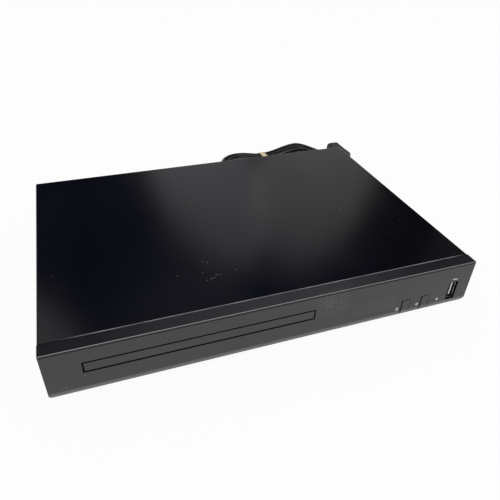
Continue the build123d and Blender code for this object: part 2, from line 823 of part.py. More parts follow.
with BuildPart() as loading_belt:
    with BuildSketch(Plane.XY.offset(belt_z - belt_half)):
        with Locations((motor_x, gear_y)):
            Circle(belt_small_radius + belt_half)
        with Locations((pulley_x, gear_y)):
            Circle(belt_big_radius + belt_half)
        make_hull()
    extrude(amount=2 * belt_half)
    with BuildSketch(Plane.XY.offset(belt_z - belt_half)):
        with Locations((motor_x, gear_y)):
            Circle(belt_small_radius - belt_half)
        with Locations((pulley_x, gear_y)):
            Circle(belt_big_radius - belt_half)
        make_hull()
    extrude(amount=2 * belt_half, mode=Mode.SUBTRACT)
finish(loading_belt, "loading_belt")

# Cam slider: an upright plate with two sloping slots that raise the lift frame's pins
pin_low_z = hinge_z - pin_reach * math.sin(lift) + cam_pin_rise * math.cos(lift)
pin_high_z = hinge_z + cam_pin_rise
slot_slope = math.degrees(math.atan2(pin_high_z - pin_low_z, cam_travel))
slot_length = math.hypot(pin_high_z - pin_low_z, cam_travel)
slot_width = 2 * (cam_pin_radius + cam_play)
cam_left = tray_x - cam_pin_x - slot_width - 3.0
cam_right = tray_x + cam_pin_x + cam_travel + slot_width + 3.0
comb_left = drive_x - rack_pitch / 2
comb_right = comb_left + comb_teeth * rack_pitch
with BuildPart() as cam_slider:
    block((cam_left, cam_right), (cam_front, cam_rear), (cam_low, cam_high))
    block((cam_right - 1.0, comb_right), (cam_front, cam_rear), (wheel_low, wheel_low + wheel_thickness))
    with BuildSketch(upright(cam_rear)):
        for side in (-1, 1):
            middle = (tray_x + side * cam_pin_x + cam_travel / 2, (pin_low_z + pin_high_z) / 2)
            with Locations(middle):
                SlotOverall(slot_length + slot_width, slot_width, rotation=slot_slope)
    extrude(amount=cam_thickness, mode=Mode.SUBTRACT)
    with BuildSketch(Plane.XY.offset(wheel_low)):
        with BuildLine():
            comb_tip = cam_front - comb_depth
            comb = [(comb_left, cam_front)]
            for tooth in range(comb_teeth):
                middle = comb_left + (tooth + 0.5) * rack_pitch
                comb += [
                    (middle - 0.4 * rack_pitch, cam_front), (middle - 0.12 * rack_pitch, comb_tip),
                    (middle + 0.12 * rack_pitch, comb_tip), (middle + 0.4 * rack_pitch, cam_front),
                ]
            comb += [(comb_right, cam_front), (comb_right, cam_rear), (comb_left, cam_rear)]
            Polyline(*comb, close=True)
        make_face()
    extrude(amount=wheel_thickness)
finish(cam_slider, "cam_slider")

# Lift frame, hinged at the rear, with pins in the cam slots
with BuildPart() as lift_frame:
    deck_block((-lift_half, lift_half), (lift_front, lift_back), (-lift_thickness / 2, lift_thickness / 2))
    deck_block((-lift_half + lift_bar, lift_half - lift_bar), (lift_front + lift_bar, lift_back - lift_bar),
               (-lift_thickness / 2, lift_thickness / 2), Mode.SUBTRACT)
    for side in (-1, 1):
        deck_bar(side * cam_pin_x, cam_pin_rise, cam_pin_radius,
                 (-pin_reach - cam_thickness / 2 - 0.6, lift_front))
        deck_block((side * cam_pin_x - 2.5, side * cam_pin_x + 2.5), (lift_front, lift_front + 3.0),
                   (-lift_thickness / 2, cam_pin_rise + cam_pin_radius))
        start = min(side * lift_half, side * (lift_half + trunnion_length))
        end = deck.from_local_coords((start, 0, 0))
        with BuildSketch(Plane(origin=end, x_dir=deck.y_dir, z_dir=deck.x_dir)):
            Circle(trunnion_radius)
        extrude(amount=trunnion_length)
        deck_block((side * 38.5 - 3.0, side * 38.5 + 3.0), (-3.0, 3.0), (-1.9, 1.9))
finish(lift_frame, "lift_frame")

# Rubber bushes between the lift frame and the deck plate
bush_places = [(-lift_half + 4.0, lift_front + 10.0), (lift_half - 4.0, lift_front + 10.0),
               (-lift_half + 4.0, -12.0), (lift_half - 4.0, -12.0)]
with BuildPart() as deck_bushes:
    for x, y in bush_places:
        deck_post(x, y, 3.2, (lift_thickness / 2, deck_low))
        deck_post(x, y, 1.9, (deck_low, deck_low + deck_sheet))
        deck_post(x, y, 2.9, (deck_low + deck_sheet, deck_low + deck_sheet + 0.8))
finish(deck_bushes, "deck_bushes")

# Deck plate: pressed steel with an opening for the pickup and lugs for the rods
opening_front = -spindle_reach + spindle_base_radius + 0.6
opening_rear = -9.5
rod_front = opening_front - 5.0
rod_rear = opening_rear + 2.5
with BuildPart() as deck_plate:
    deck_block((-lift_half, lift_half), (lift_front + 5.0, -6.0), (deck_low, deck_low + deck_sheet))
    deck_block((-25.0, 36.0), (opening_front, opening_rear), (deck_low, deck_low + deck_sheet), Mode.SUBTRACT)
    deck_post(0, -spindle_reach, 8.0, (deck_low, deck_low + deck_sheet), Mode.SUBTRACT)
    for x, y in bush_places:
        deck_post(x, y, 1.95, (deck_low, deck_low + deck_sheet), Mode.SUBTRACT)
    for x in (-rod_x, rod_x):
        for y in (rod_front, opening_rear):
            deck_block((x - 2.6, x + 2.6), (y, y + 2.5), (rod_z - 2.3, deck_low))
        deck_bar(x, rod_z, rod_radius, (rod_front, rod_rear), Mode.SUBTRACT)
finish(deck_plate, "deck_plate")

with BuildPart() as guide_rods:
    for x in (-rod_x, rod_x):
        deck_bar(x, rod_z, rod_radius, (rod_front, rod_rear))
finish(guide_rods, "guide_rods")

# Spindle motor base and the turntable on its shaft
with BuildPart() as spindle_motor:
    deck_post(0, -spindle_reach, spindle_base_radius - 0.5, (0.4, deck_low))
    deck_post(0, -spindle_reach, 7.9, (deck_low, bell_low - 0.4))
    deck_post(0, -spindle_reach, spindle_radius + running, (0, bell_low), Mode.SUBTRACT)
finish(spindle_motor, "spindle_motor")

with BuildPart() as turntable:
    deck_post(0, -spindle_reach, bell_radius, (bell_low, seat_height - seat_thickness))
    deck_post(0, -spindle_reach, seat_radius, (seat_height - seat_thickness, seat_height))
    with BuildSketch(deck.offset(seat_height)):
        with Locations((0, -spindle_reach)):
            Circle(hub_radius)
    extrude(amount=hub_height, taper=22)
    deck_post(0, -spindle_reach, spindle_radius, (0.8, bell_low))
finish(turntable, "turntable")

# Pickup sled on its rods, with a follower on the feed screw
lens_y = -spindle_reach + lens_start
sled_front = lens_y - sled_ahead
sled_rear = opening_rear - fit_gap - pickup_travel
follower_front = sled_front + follower_start
follower_rear = follower_front + follower_length
eye_radius = 3.0
with BuildPart() as pickup_sled:
    deck_block((-sled_half, sled_half), (sled_front, sled_rear), (sled_low, sled_high - 2.0))
    deck_block((-10.0, 10.0), (sled_front + 1.0, sled_rear - 5.0), (sled_high - 2.0, sled_high + 1.0))
    fillet(pickup_sled.edges().filter_by(lambda e: abs(e.tangent_at(0.5).dot(deck.z_dir)) > 0.99), 0.8)
    for x in (-rod_x, rod_x):
        deck_block((min(x, 0.75 * x), max(x, 0.75 * x)), (sled_front + 2.0, sled_front + 10.0),
                   (rod_z - 2.0, rod_z + 2.0))
        deck_bar(x, rod_z, eye_radius, (sled_front + 2.0, sled_front + 10.0))
        deck_bar(x, rod_z, rod_radius + running, (sled_front, sled_rear), Mode.SUBTRACT)
    deck_block((rod_x + 2.5, screw_x), (follower_front, follower_rear), (rod_z - 1.5, rod_z + 1.5))
    deck_bar(screw_x, rod_z, 2.7, (follower_front, follower_rear))
    deck_bar(screw_x, rod_z, screw_radius + running, (sled_front, sled_rear), Mode.SUBTRACT)
    deck_post(0, lens_y, lens_radius + thin_gap, (sled_high - 2.0, sled_high + 4.0), Mode.SUBTRACT)
finish(pickup_sled, "pickup_sled")

with BuildPart() as pickup_lens:
    deck_post(0, lens_y, lens_radius, (sled_high - 2.0, lens_top))
    fillet(pickup_lens.edges().filter_by(GeomType.CIRCLE).sort_by(Axis.Z)[-1], 0.9)
finish(pickup_lens, "pickup_lens")

# Feed motor and its screw
motor_front = follower_rear + pickup_travel + fit_gap
with BuildPart() as feed_motor:
    deck_bar(screw_x, rod_z, feed_motor_radius, (motor_front, opening_rear))
    deck_bar(screw_x, rod_z, screw_radius + running, (motor_front, opening_rear), Mode.SUBTRACT)
finish(feed_motor, "feed_motor")

with BuildPart() as feed_screw:
    deck_bar(screw_x, rod_z, screw_radius, (rod_front + 3.0, opening_rear - 3.0))
finish(feed_screw, "feed_screw")

# Clamp bridge over the tray and the puck that hangs in it
bridge_hole = puck_radius + puck_play
bridge_top = bridge_low + bridge_thickness
with BuildPart() as clamp_bridge:
    with BuildSketch(Plane.XY.offset(bridge_low)):
        with Locations((tray_x, disc_y)):
            Rectangle(2 * frame_outer, 2 * bridge_half)
            Circle(bridge_hole + 5.0)
            Circle(bridge_hole, mode=Mode.SUBTRACT)
    extrude(amount=bridge_thickness)
    for side in (-1, 1):
        edge = tray_x + side * frame_outer
        inside = edge - side * bridge_thickness
        toe = edge - side * bridge_foot
        block((min(edge, inside), max(edge, inside)), (disc_y - bridge_half, disc_y + bridge_half),
              (frame_top, bridge_low))
        block((min(edge, toe), max(edge, toe)), (disc_y - bridge_half, disc_y + bridge_half),
              (frame_top, frame_top + bridge_thickness))
finish(clamp_bridge, "clamp_bridge")

with BuildPart() as clamp_puck:
    with BuildSketch(Plane(origin=(tray_x, disc_y, 0), x_dir=(1, 0, 0), z_dir=(0, -1, 0))):
        with BuildLine():
            Polyline(
                (hub_radius + 1.0, puck_low), (puck_radius - 1.0, puck_low), (puck_radius, puck_low + 1.0),
                (puck_radius, bridge_top + glide), (puck_flange_radius, bridge_top + glide),
                (puck_flange_radius, bridge_top + glide + puck_flange), (0, bridge_top + glide + puck_flange),
                (0, puck_low + 3.0), (hub_radius + 1.0, puck_low + 3.0), close=True)
        make_face()
    revolve(axis=Axis((tray_x, disc_y, 0), (0, 0, 1)))
finish(clamp_puck, "clamp_puck")

# Screws that hold the loader to the pan
with BuildPart() as loader_screws:
    for side in (-1, 1):
        x = tray_x + side * (frame_outer + frame_foot_width / 2)
        for y in loader_foot_ys:
            post(x, y + frame_foot_width / 2, 2.8, (floor + frame_foot, floor + frame_foot + 1.8))
    fillet(loader_screws.edges().filter_by(GeomType.CIRCLE).group_by(Axis.Z)[-1], 0.8)
finish(loader_screws, "loader_screws")

# Main board, with the processor under a heat sink
main_right = pan_half - sheet - 5.0
main_front = front_board_rear + 22.0
main_rear = panel_front - 1.0
with BuildPart() as main_board:
    block((main_left, main_right), (main_front, main_rear), (main_board_low, main_top))
finish(main_board, "main_board")

with BuildPart() as board_spacers:
    for x in (main_left + 5.0, main_right - 5.0):
        for y in (main_front + 5.0, main_rear - 14.0):
            post(x, y, spacer_radius, (floor, main_board_low))
    for x, y in board_posts:
        post(x, y, spacer_radius, (floor, front_board_low))
finish(board_spacers, "board_spacers")

chip_x = (main_left + main_right) / 2 + 8.0
chip_y = (main_front + main_rear) / 2 - 6.0
chip_half = 12.0
chip_top = main_top + 1.4
with BuildPart() as processor:
    block((chip_x - chip_half, chip_x + chip_half), (chip_y - chip_half, chip_y + chip_half),
          (main_top, chip_top))
finish(processor, "processor")

with BuildPart() as heat_sink:
    block((chip_x - chip_half, chip_x + chip_half), (chip_y - chip_half, chip_y + chip_half),
          (chip_top, chip_top + 8.0))
    with BuildSketch(Plane.XY.offset(chip_top + 8.0)):
        with Locations((chip_x, chip_y)):
            with GridLocations(4.0, 10.0, 5, 1):
                Rectangle(2.6, 2 * chip_half)
    extrude(amount=-6.4, mode=Mode.SUBTRACT)
finish(heat_sink, "heat_sink")

# Power board behind the loader
power_left = gland_x + 14.0
power_right = tray_x + frame_outer - 4.0
power_rear = panel_front - flange_height - 0.4
power_front = power_rear - power_depth
power_top = power_board_low + board_thickness
power_mid = (power_front + power_rear) / 2
with BuildPart() as power_board:
    block((power_left, power_right), (power_front, power_rear), (power_board_low, power_top))
    for x in (power_left + 4.0, power_right - 4.0):
        post(x, power_rear - power_spacer_radius - thin_gap, power_spacer_radius, (floor, power_board_low))
finish(power_board, "power_board")

with BuildPart() as power_transformer:
    block((power_left + 42.0, power_left + 58.0), (power_mid - 6.0, power_mid + 6.0),
          (power_top, power_top + 15.0))
    block((power_left + 45.0, power_left + 55.0), (power_mid - 6.4, power_mid + 6.4),
          (power_top + 3.0, power_top + 12.0))
finish(power_transformer, "power_transformer")

# Capacitors of both boards
with BuildPart() as capacitors:
    post(power_left + 30.0, power_mid, 6.0, (power_top, power_top + 20.0))
    for x in (power_left + 74.0, power_left + 86.0):
        post(x, power_mid, 4.5, (power_top, power_top + 14.0))
    for x, y in ((-26.0, -20.0), (-26.0, -8.0), (20.0, -26.0)):
        post(chip_x + x, chip_y + y, 4.0, (main_top, main_top + 11.0))
finish(capacitors, "capacitors")

# Ribbon from the main board to the front board, and the mains leads to the power board
ribbon_x = front_board_left + 14.0
ribbon_half = 6.0
ribbon_z = main_top + 2.2
with BuildPart() as front_ribbon:
    with BuildSketch(Plane.YZ.offset(ribbon_x - ribbon_half)):
        with BuildLine():
            Polyline(
                (front_board_rear - 4.0, front_board_top), (front_board_rear - 4.0, ribbon_z),
                (main_front + 4.0, ribbon_z), (main_front + 4.0, main_top), (main_front + 3.6, main_top),
                (main_front + 3.6, ribbon_z - 0.4), (front_board_rear - 3.6, ribbon_z - 0.4),
                (front_board_rear - 3.6, front_board_top), close=True)
        make_face()
    extrude(amount=2 * ribbon_half)
finish(front_ribbon, "front_ribbon")

lead_radius = 0.9
lead_inner = panel_front - 1.2
with BuildPart() as mains_leads:
    for offset in (-1.2, 1.2):
        with BuildLine() as route:
            FilletPolyline(
                (gland_x + offset, lead_inner, gland_z),
                (gland_x + offset, power_mid + offset + 3.0, gland_z),
                (power_left + 4.0, power_mid + offset + 3.0, gland_z), radius=3.0)
        with BuildSketch(Plane(origin=route.line @ 0, z_dir=route.line % 0)):
            Circle(lead_radius)
        sweep(path=route.line)
finish(mains_leads, "mains_leads")

# HDMI socket
hdmi_rear = panel_rear + 0.4
hdmi_wall = 0.5
hdmi_slant = 2.0


def hdmi_outline(inset):
    """Outline of the socket's shell, a rectangle with its lower corners cut off."""
    side = hdmi_width / 2 - inset
    top = hdmi_z + hdmi_height / 2 - inset
    bottom = hdmi_z - hdmi_height / 2 + inset
    return [
        (hdmi_x - side, top), (hdmi_x + side, top), (hdmi_x + side, bottom + hdmi_slant),
        (hdmi_x + side - hdmi_slant, bottom), (hdmi_x - side + hdmi_slant, bottom),
        (hdmi_x - side, bottom + hdmi_slant),
    ]


with BuildPart() as hdmi_socket:
    with BuildSketch(upright(hdmi_rear)):
        with BuildLine():
            Polyline(*hdmi_outline(0), close=True)
        make_face()
    extrude(amount=12.0)
    with BuildSketch(upright(hdmi_rear)):
        with BuildLine():
            Polyline(*hdmi_outline(hdmi_wall), close=True)
        make_face()
    extrude(amount=10.5, mode=Mode.SUBTRACT)
    block((hdmi_x - 5.5, hdmi_x + 5.5), (hdmi_rear - 11.0, hdmi_rear - 2.0), (hdmi_z - 0.2, hdmi_z + 0.9))
finish(hdmi_socket, "hdmi_socket")

# Audio and video sockets: a moulded block, metal sleeves and coloured inserts
av_front = panel_front - 11.0
with BuildPart() as av_housing:
    block((audio_xs[0] - 7.0, audio_xs[-1] + 7.0), (av_front, panel_front), (main_top, audio_z + 7.5))
    with BuildSketch(upright(panel_front)):
        with Locations(*[(x, audio_z) for x in audio_xs]):
            Circle(audio_radius)
    extrude(amount=8.0, mode=Mode.SUBTRACT)
    with BuildSketch(upright(panel_front)):
        with Locations(*[(x + 7.0, audio_z + 3.0) for x in audio_xs[:-1]]):
            Rectangle(1.2, 9.2)
    extrude(amount=6.0, mode=Mode.SUBTRACT)
finish(av_housing, "av_housing")

sleeve_rear = rear + socket_reach
with BuildPart() as socket_sleeves:
    with BuildSketch(upright(sleeve_rear)):
        with Locations(*[(x, audio_z) for x in audio_xs]):
            Circle(audio_radius)
            Circle(audio_bore, mode=Mode.SUBTRACT)
    extrude(amount=sleeve_rear - panel_front + 8.0)
    chamfer(socket_sleeves.edges().filter_by(GeomType.CIRCLE).group_by(Axis.Y)[-1], 0.3)
finish(socket_sleeves, "socket_sleeves")

insert_names = ["socket_insert_yellow", "socket_insert_white", "socket_insert_red"]
for x, name in zip(audio_xs, insert_names):
    with BuildPart() as insert:
        with BuildSketch(upright(sleeve_rear - 0.8)):
            with Locations((x, audio_z)):
                Circle(audio_bore)
                Circle(audio_pin_bore, mode=Mode.SUBTRACT)
        extrude(amount=9.0)
    finish(insert, name)

# Cord gland: a tapered sleeve with grooves round it
with BuildPart() as cord_gland:
    with BuildSketch(Plane(origin=(gland_x, rear, gland_z), x_dir=(1, 0, 0), z_dir=(0, 0, 1))):
        with BuildLine():
            taper = (gland_radius - gland_tip_radius) / gland_length
            outline = [(0, panel_front - 1.2), (gland_radius - 0.6, panel_front - 1.2),
                       (gland_radius - 0.6, panel_front - 0.2), (gland_radius - 1.2, panel_front - 0.2),
                       (gland_radius - 1.2, panel_rear + 0.1), (gland_radius + 1.0, panel_rear + 0.1),
                       (gland_radius + 1.0, rear + 1.6)]
            for rib in range(4):
                start = 3.0 + rib * 5.0
                outline += [
                    (gland_radius - taper * start, rear + start),
                    (gland_radius - taper * (start + 3.0), rear + start + 3.0),
                    (gland_radius - 1.0 - taper * (start + 3.0), rear + start + 3.4),
                    (gland_radius - 1.0 - taper * (start + 4.6), rear + start + 4.6),
                ]
            outline += [(gland_tip_radius, rear + gland_length), (0, rear + gland_length)]
            Polyline(*[(r, y - rear) for r, y in outline], close=True)
        make_face()
    revolve(axis=Axis((gland_x, rear, gland_z), (0, 1, 0)))
finish(cord_gland, "cord_gland")

# Route of the mains lead: from the gland, into the hank behind the player, out to the plug.
# The hank is a spiral in and out again in two layers, drawn in at a waist.
hank_x = 83.0
hank_y = 142.0
hank_turn = 6.0
hank_radius = 22.8
left_centre = 26.0
right_centre = 40.0
left_slope = 35.0
right_slope = 20.0
left_corners = 6
right_corners = 5
layer_one = tie_sheet + 0.1 + cord_radius
layer_two = layer_one + 2 * cord_radius + cord_gap
tail_x = 149.8
tail_radius = 22.0
tail_heights = [layer_two, 6.0, 3.2, 3.2]
tail_end_y = 144.0
tail_end_z = 5.6


def hank_point(x, y, z):
    """A point of the hank, given about its waist."""
    along = (math.cos(math.radians(hank_turn)), math.sin(math.radians(hank_turn)))
    return (hank_x + x * along[0] - y * along[1], hank_y + x * along[1] + y * along[0], z)


def fold(side, start, end, z, corners):
    """Corners of one fold, from inset start to inset end, turning clockwise as seen from above."""
    slope, centre = (right_slope, right_centre) if side > 0 else (left_slope, -left_centre)
    step = (180 + 2 * slope) / corners
    first = 90 + slope if side > 0 else 270 + slope
    places = []
    for corner in range(corners):
        share = (corner + 0.5) / corners
        radius = (hank_radius - start - (end - start) * share) / math.cos(math.radians(step / 2))
        angle = math.radians(first - step * (corner + 0.5))
        places.append(hank_point(centre + radius * math.cos(angle), radius * math.sin(angle), z))
    return places


def waist(side, inset, z):
    """The corner where a run crosses the waist, on the far side for 1 and the near side for -1."""
    right = (hank_radius - inset) / math.cos(math.radians(right_slope))
    right -= right_centre * math.tan(math.radians(right_slope))
    left = (hank_radius - inset) / math.cos(math.radians(left_slope))
    left -= left_centre * math.tan(math.radians(left_slope))
    slopes = math.tan(math.radians(right_slope)) + math.tan(math.radians(left_slope))
    x = (left - right) / slopes
    y = right + x * math.tan(math.radians(right_slope))
    return hank_point(x, side * y, z)


on_table = cord_radius + 0.1
lead_points = [
    (gland_x, rear + gland_length, gland_z), (gland_x, 129.0, gland_z), (-104.0, 146.0, 8.2),
    (-86.0, 153.5, 3.6), (-64.0, 151.0, on_table), (-44.0, 141.5, on_table), (-30.5, 129.0, on_table),
    (-19.5, 118.5, on_table), (-8.0, 111.4, on_table), (3.0, 110.3, on_table), (13.6, 113.8, on_table),
    (21.8, 121.3, layer_one),
]
half_pitch = cord_pitch / 2
hank_points = fold(-1, -half_pitch, 0, layer_one, left_corners)[3:]
hank_points += [waist(1, 0, layer_one)] + fold(1, 0, half_pitch, layer_one, right_corners)
hank_points += [waist(-1, half_pitch, layer_one)] + fold(-1, half_pitch, cord_pitch, layer_one, left_corners)
hank_points += [waist(1, cord_pitch, layer_one)]
hank_points += fold(1, cord_pitch, 3 * half_pitch, layer_one, right_corners)
hank_points += [waist(-1, 3 * half_pitch, (layer_one + layer_two) / 2)]
hank_points += fold(-1, 3 * half_pitch, cord_pitch, layer_two, left_corners)
hank_points += [waist(1, cord_pitch, layer_two)]
hank_points += fold(1, cord_pitch, half_pitch, layer_two, right_corners)
hank_points += [waist(-1, half_pitch, layer_two)] + fold(-1, half_pitch, 0, layer_two, left_corners)
hank_points += [waist(1, 0, layer_two)]

# The tail leaves the far side along the last run, turns round the right fold and drops to the plug
tail_heading = right_slope + hank_turn
tail_middle_x = tail_x - tail_radius
fold_middle = Vector(*hank_point(right_centre, 0, 0))
run_normal = (-math.sin(math.radians(tail_heading)), math.cos(math.radians(tail_heading)))
tail_start_x = tail_middle_x + tail_radius * run_normal[0]
run_x = fold_middle.X + hank_radius * run_normal[0]
run_y = fold_middle.Y + hank_radius * run_normal[1]
tail_start_y = run_y + (tail_start_x - run_x) * math.tan(math.radians(tail_heading))
tail_middle_y = tail_start_y - tail_radius * run_normal[1]
tail_step = (90 + tail_heading) / len(tail_heights)
tail_points = []
for corner, level in enumerate(tail_heights):
    angle = math.radians(90 + tail_heading - tail_step * (corner + 0.5))
    reach = tail_radius / math.cos(math.radians(tail_step / 2))
    tail_points.append(
        (tail_middle_x + reach * math.cos(angle), tail_middle_y + reach * math.sin(angle), level))
tail_points.append((tail_x, tail_end_y, tail_end_z))
route_points = [Vector(*p) for p in lead_points + hank_points + tail_points]


def corner_radius(index):
    """Radius at a corner of the route: 0.45 of the shorter run, over the tangent of half the turn."""
    before = route_points[index] - route_points[index - 1]
    after = route_points[index + 1] - route_points[index]
    half_turn = math.radians(before.get_angle(after)) / 2
    return 0.45 * min(before.length, after.length) / math.tan(half_turn)


corner_radii = [corner_radius(index) for index in range(1, len(route_points) - 1)]


def cord_tube(start, end, first, last):
    """The tube from point start to point end, passing the route's corners first to last."""
    points = [start] + route_points[first:last + 1] + [end]
    with BuildPart() as tube:
        with BuildLine() as path:
            FilletPolyline(*points, radius=[corner_radii[index - 1] for index in range(first, last + 1)])
        line = path.wire()
        with BuildSketch(Plane(origin=line @ 0, z_dir=line % 0)):
            Circle(cord_radius)
        sweep(path=line)
    expected = line.length * math.pi * cord_radius ** 2
    print("tube length", round(line.length, 1), "volume over section x length",
          round(tube.part.volume / expected, 5))
    return tube, line


def between(index, share):
    """A point on the straight run after corner index."""
    return route_points[index] + (route_points[index + 1] - route_points[index]) * share


lead_last = len(lead_points) - 1
hank_last = lead_last + len(hank_points)
into_hank = between(lead_last, 0.41)
out_of_hank = between(hank_last, 0.77)
cord_lead, lead_line = cord_tube(route_points[0], into_hank, 1, lead_last)
finish(cord_lead, "cord_lead")
cord_hank, hank_line = cord_tube(into_hank, out_of_hank, lead_last + 1, hank_last)
finish(cord_hank, "cord_hank")
cord_tail, tail_line = cord_tube(out_of_hank, route_points[-1], hank_last + 1, len(route_points) - 2)
finish(cord_tail, "cord_tail")
print("corner radii", [round(radius, 1) for radius in corner_radii])
print("cord length", round(lead_line.length + hank_line.length + tail_line.length, 1))

# Least gap of the hank to itself, measured between points along its line
samples = 900
hank_samples = [hank_line @ (index / samples) for index in range(samples + 1)]
skip = int(samples * 6 * cord_radius / hank_line.length) + 1
least = min(
    (hank_samples[i] - hank_samples[j]).length
    for i in range(samples + 1) for j in range(i + skip, samples + 1))
print("least gap in hank", round(least - 2 * cord_radius, 2))

# Tie round the waist: a flat strip with two twisted ends
tie_left = -12.6
tie_right = 15.5
tie_low = 0.05
tie_high = layer_two + cord_radius + 0.2
along_hank = (math.cos(math.radians(hank_turn)), math.sin(math.radians(hank_turn)), 0)
across_hank = (-along_hank[1], along_hank[0], 0)
tie_plane = Plane(origin=hank_point(-tie_width / 2, 0, 0), x_dir=across_hank, z_dir=along_hank)
with BuildPart() as cord_tie:
    with BuildSketch(tie_plane):
        with Locations(((tie_left + tie_right) / 2, (tie_low + tie_high + tie_sheet) / 2)):
            RectangleRounded(tie_right - tie_left + 2 * tie_sheet, tie_high - tie_low + tie_sheet, 3.0)
            RectangleRounded(tie_right - tie_left, tie_high - tie_low - tie_sheet, 2.4, mode=Mode.SUBTRACT)
    extrude(amount=tie_width)
finish(cord_tie, "cord_tie")

# Plug: a moulded body standing on its edge, two flat pins, and a sleeve where the lead enters
plug_rear = plug_front + plug_length
plug_mid = plug_height / 2
with BuildPart() as plug_body:
    with BuildSketch(upright(plug_rear)):
        with Locations((plug_x, plug_mid)):
            RectangleRounded(plug_thickness, plug_height, 3.2)
    extrude(amount=plug_length - 5.0)
    with BuildSketch(upright(plug_front + 5.0)):
        with Locations((plug_x, plug_mid)):
            RectangleRounded(plug_thickness + 2.0, plug_height, 4.0)
    extrude(amount=5.0)
    with BuildSketch(upright(plug_rear)):
        with Locations((plug_x, plug_mid - 2.0)):
            Circle(5.4)
    with BuildSketch(Plane(origin=route_points[-1], z_dir=route_points[-2] - route_points[-1])):
        Circle(gland_tip_radius)
    loft()
    with BuildSketch(Plane.YZ.offset(plug_x - plug_thickness)):
        with Locations(*[(plug_front + 9.0 + 3.6 * rib, plug_mid) for rib in range(4)]):
            Rectangle(1.4, 15.0)
    extrude(amount=plug_thickness / 2 + 0.8, mode=Mode.SUBTRACT)
    with BuildSketch(Plane.YZ.offset(plug_x + plug_thickness / 2 - 0.8)):
        with Locations(*[(plug_front + 9.0 + 3.6 * rib, plug_mid) for rib in range(4)]):
            Rectangle(1.4, 15.0)
    extrude(amount=plug_thickness / 2, mode=Mode.SUBTRACT)
finish(plug_body, "plug_body")

pin_spacing = 13.7
pin_length = 17.0
with BuildPart() as plug_pins:
    with BuildSketch(upright(plug_front)):
        for side in (-1, 1):
            with Locations((plug_x, plug_mid + side * pin_spacing / 2)):
                Rectangle(1.6, 6.3, rotation=90 - side * 30)
    extrude(amount=pin_length)
finish(plug_pins, "plug_pins")
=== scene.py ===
import bpy
import bmesh
import json
import math
from mathutils import Matrix, Quaternion, Vector

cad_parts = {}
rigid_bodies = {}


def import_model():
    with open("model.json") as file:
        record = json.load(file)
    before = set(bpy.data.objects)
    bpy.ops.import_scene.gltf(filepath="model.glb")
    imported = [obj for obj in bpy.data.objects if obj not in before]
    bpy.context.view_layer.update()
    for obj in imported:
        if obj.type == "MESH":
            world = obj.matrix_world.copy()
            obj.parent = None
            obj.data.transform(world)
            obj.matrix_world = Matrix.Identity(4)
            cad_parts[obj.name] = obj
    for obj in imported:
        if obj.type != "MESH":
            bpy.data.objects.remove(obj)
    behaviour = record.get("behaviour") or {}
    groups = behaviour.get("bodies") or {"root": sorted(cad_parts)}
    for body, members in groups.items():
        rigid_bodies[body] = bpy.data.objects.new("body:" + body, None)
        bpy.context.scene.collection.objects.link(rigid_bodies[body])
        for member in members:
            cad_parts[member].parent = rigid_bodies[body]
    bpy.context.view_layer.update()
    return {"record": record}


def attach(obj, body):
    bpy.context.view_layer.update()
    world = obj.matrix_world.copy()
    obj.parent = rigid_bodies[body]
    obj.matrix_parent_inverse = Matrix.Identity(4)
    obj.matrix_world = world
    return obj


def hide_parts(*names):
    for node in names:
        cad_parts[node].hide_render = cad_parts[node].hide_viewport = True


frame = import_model()
MM = 0.001
bpy.context.scene.view_settings.view_transform = "Standard"

# Camera at the photograph's viewing angle, worked out from the casing's edges
SENSOR, LENS = 36.0, 35.4
CAMERA_PLACE = (-0.0965, -0.2911, 0.2258)
CAMERA_RIGHT = (0.9421, -0.3340, 0.0309)
CAMERA_AHEAD = (0.2893, 0.7624, -0.5788)
camera_data = bpy.data.cameras.new("view")
camera_data.sensor_width = SENSOR
camera_data.lens = LENS
camera_data.clip_start = 0.01
camera = bpy.data.objects.new("view", camera_data)
bpy.context.collection.objects.link(camera)
right = Vector(CAMERA_RIGHT).normalized()
ahead = Vector(CAMERA_AHEAD).normalized()
up = right.cross(ahead).normalized()
right = ahead.cross(up).normalized()
turn = Matrix((right, up, -ahead)).transposed().to_4x4()
camera.matrix_world = Matrix.Translation(CAMERA_PLACE) @ turn
bpy.context.scene.camera = camera

# Mains lead: the route's points, in mm, are the control points of one smooth line.
# It leaves the gland, makes a hank of two layers, drawn in at a waist, and ends at the plug.
# Its radius, the gap between the layers, the tie's thickness, the room below, and how far apart turns lie
CORD_R = 2.2
CORD_GAP = 0.6
TIE_SHEET = 0.6
LIFT = 0.1
PITCH = 5.2
HALF_PITCH = PITCH / 2
TABLE = CORD_R + LIFT
LAYER_1 = TIE_SHEET + LIFT + CORD_R
LAYER_2 = LAYER_1 + 2 * CORD_R + CORD_GAP
# The hank's middle, its turn in degrees and the outer radius of its ends; each end's distance from the
# middle, its strands' slope in degrees and its corners; the tail's end, and its bend's radius and heights
HANK_X, HANK_Y, HANK_TURN, HANK_R = 83.0, 142.0, 6.0, 22.8
LEFT_C, LEFT_SLOPE, LEFT_CORNERS = 26.0, 35.0, 6
RIGHT_C, RIGHT_SLOPE, RIGHT_CORNERS = 40.0, 20.0, 5
TAIL_X, TAIL_Y, TAIL_Z, TAIL_R = 149.8, 144.0, 5.6, 22.0
TAIL_LEVELS = (LAYER_2, 6.0, 3.2, 3.2)


def hank_point(x, y, z):
    """A point given in the hank's own directions, in the part's frame."""
    a = math.radians(HANK_TURN)
    return (HANK_X + x * math.cos(a) - y * math.sin(a), HANK_Y + x * math.sin(a) + y * math.cos(a), z)


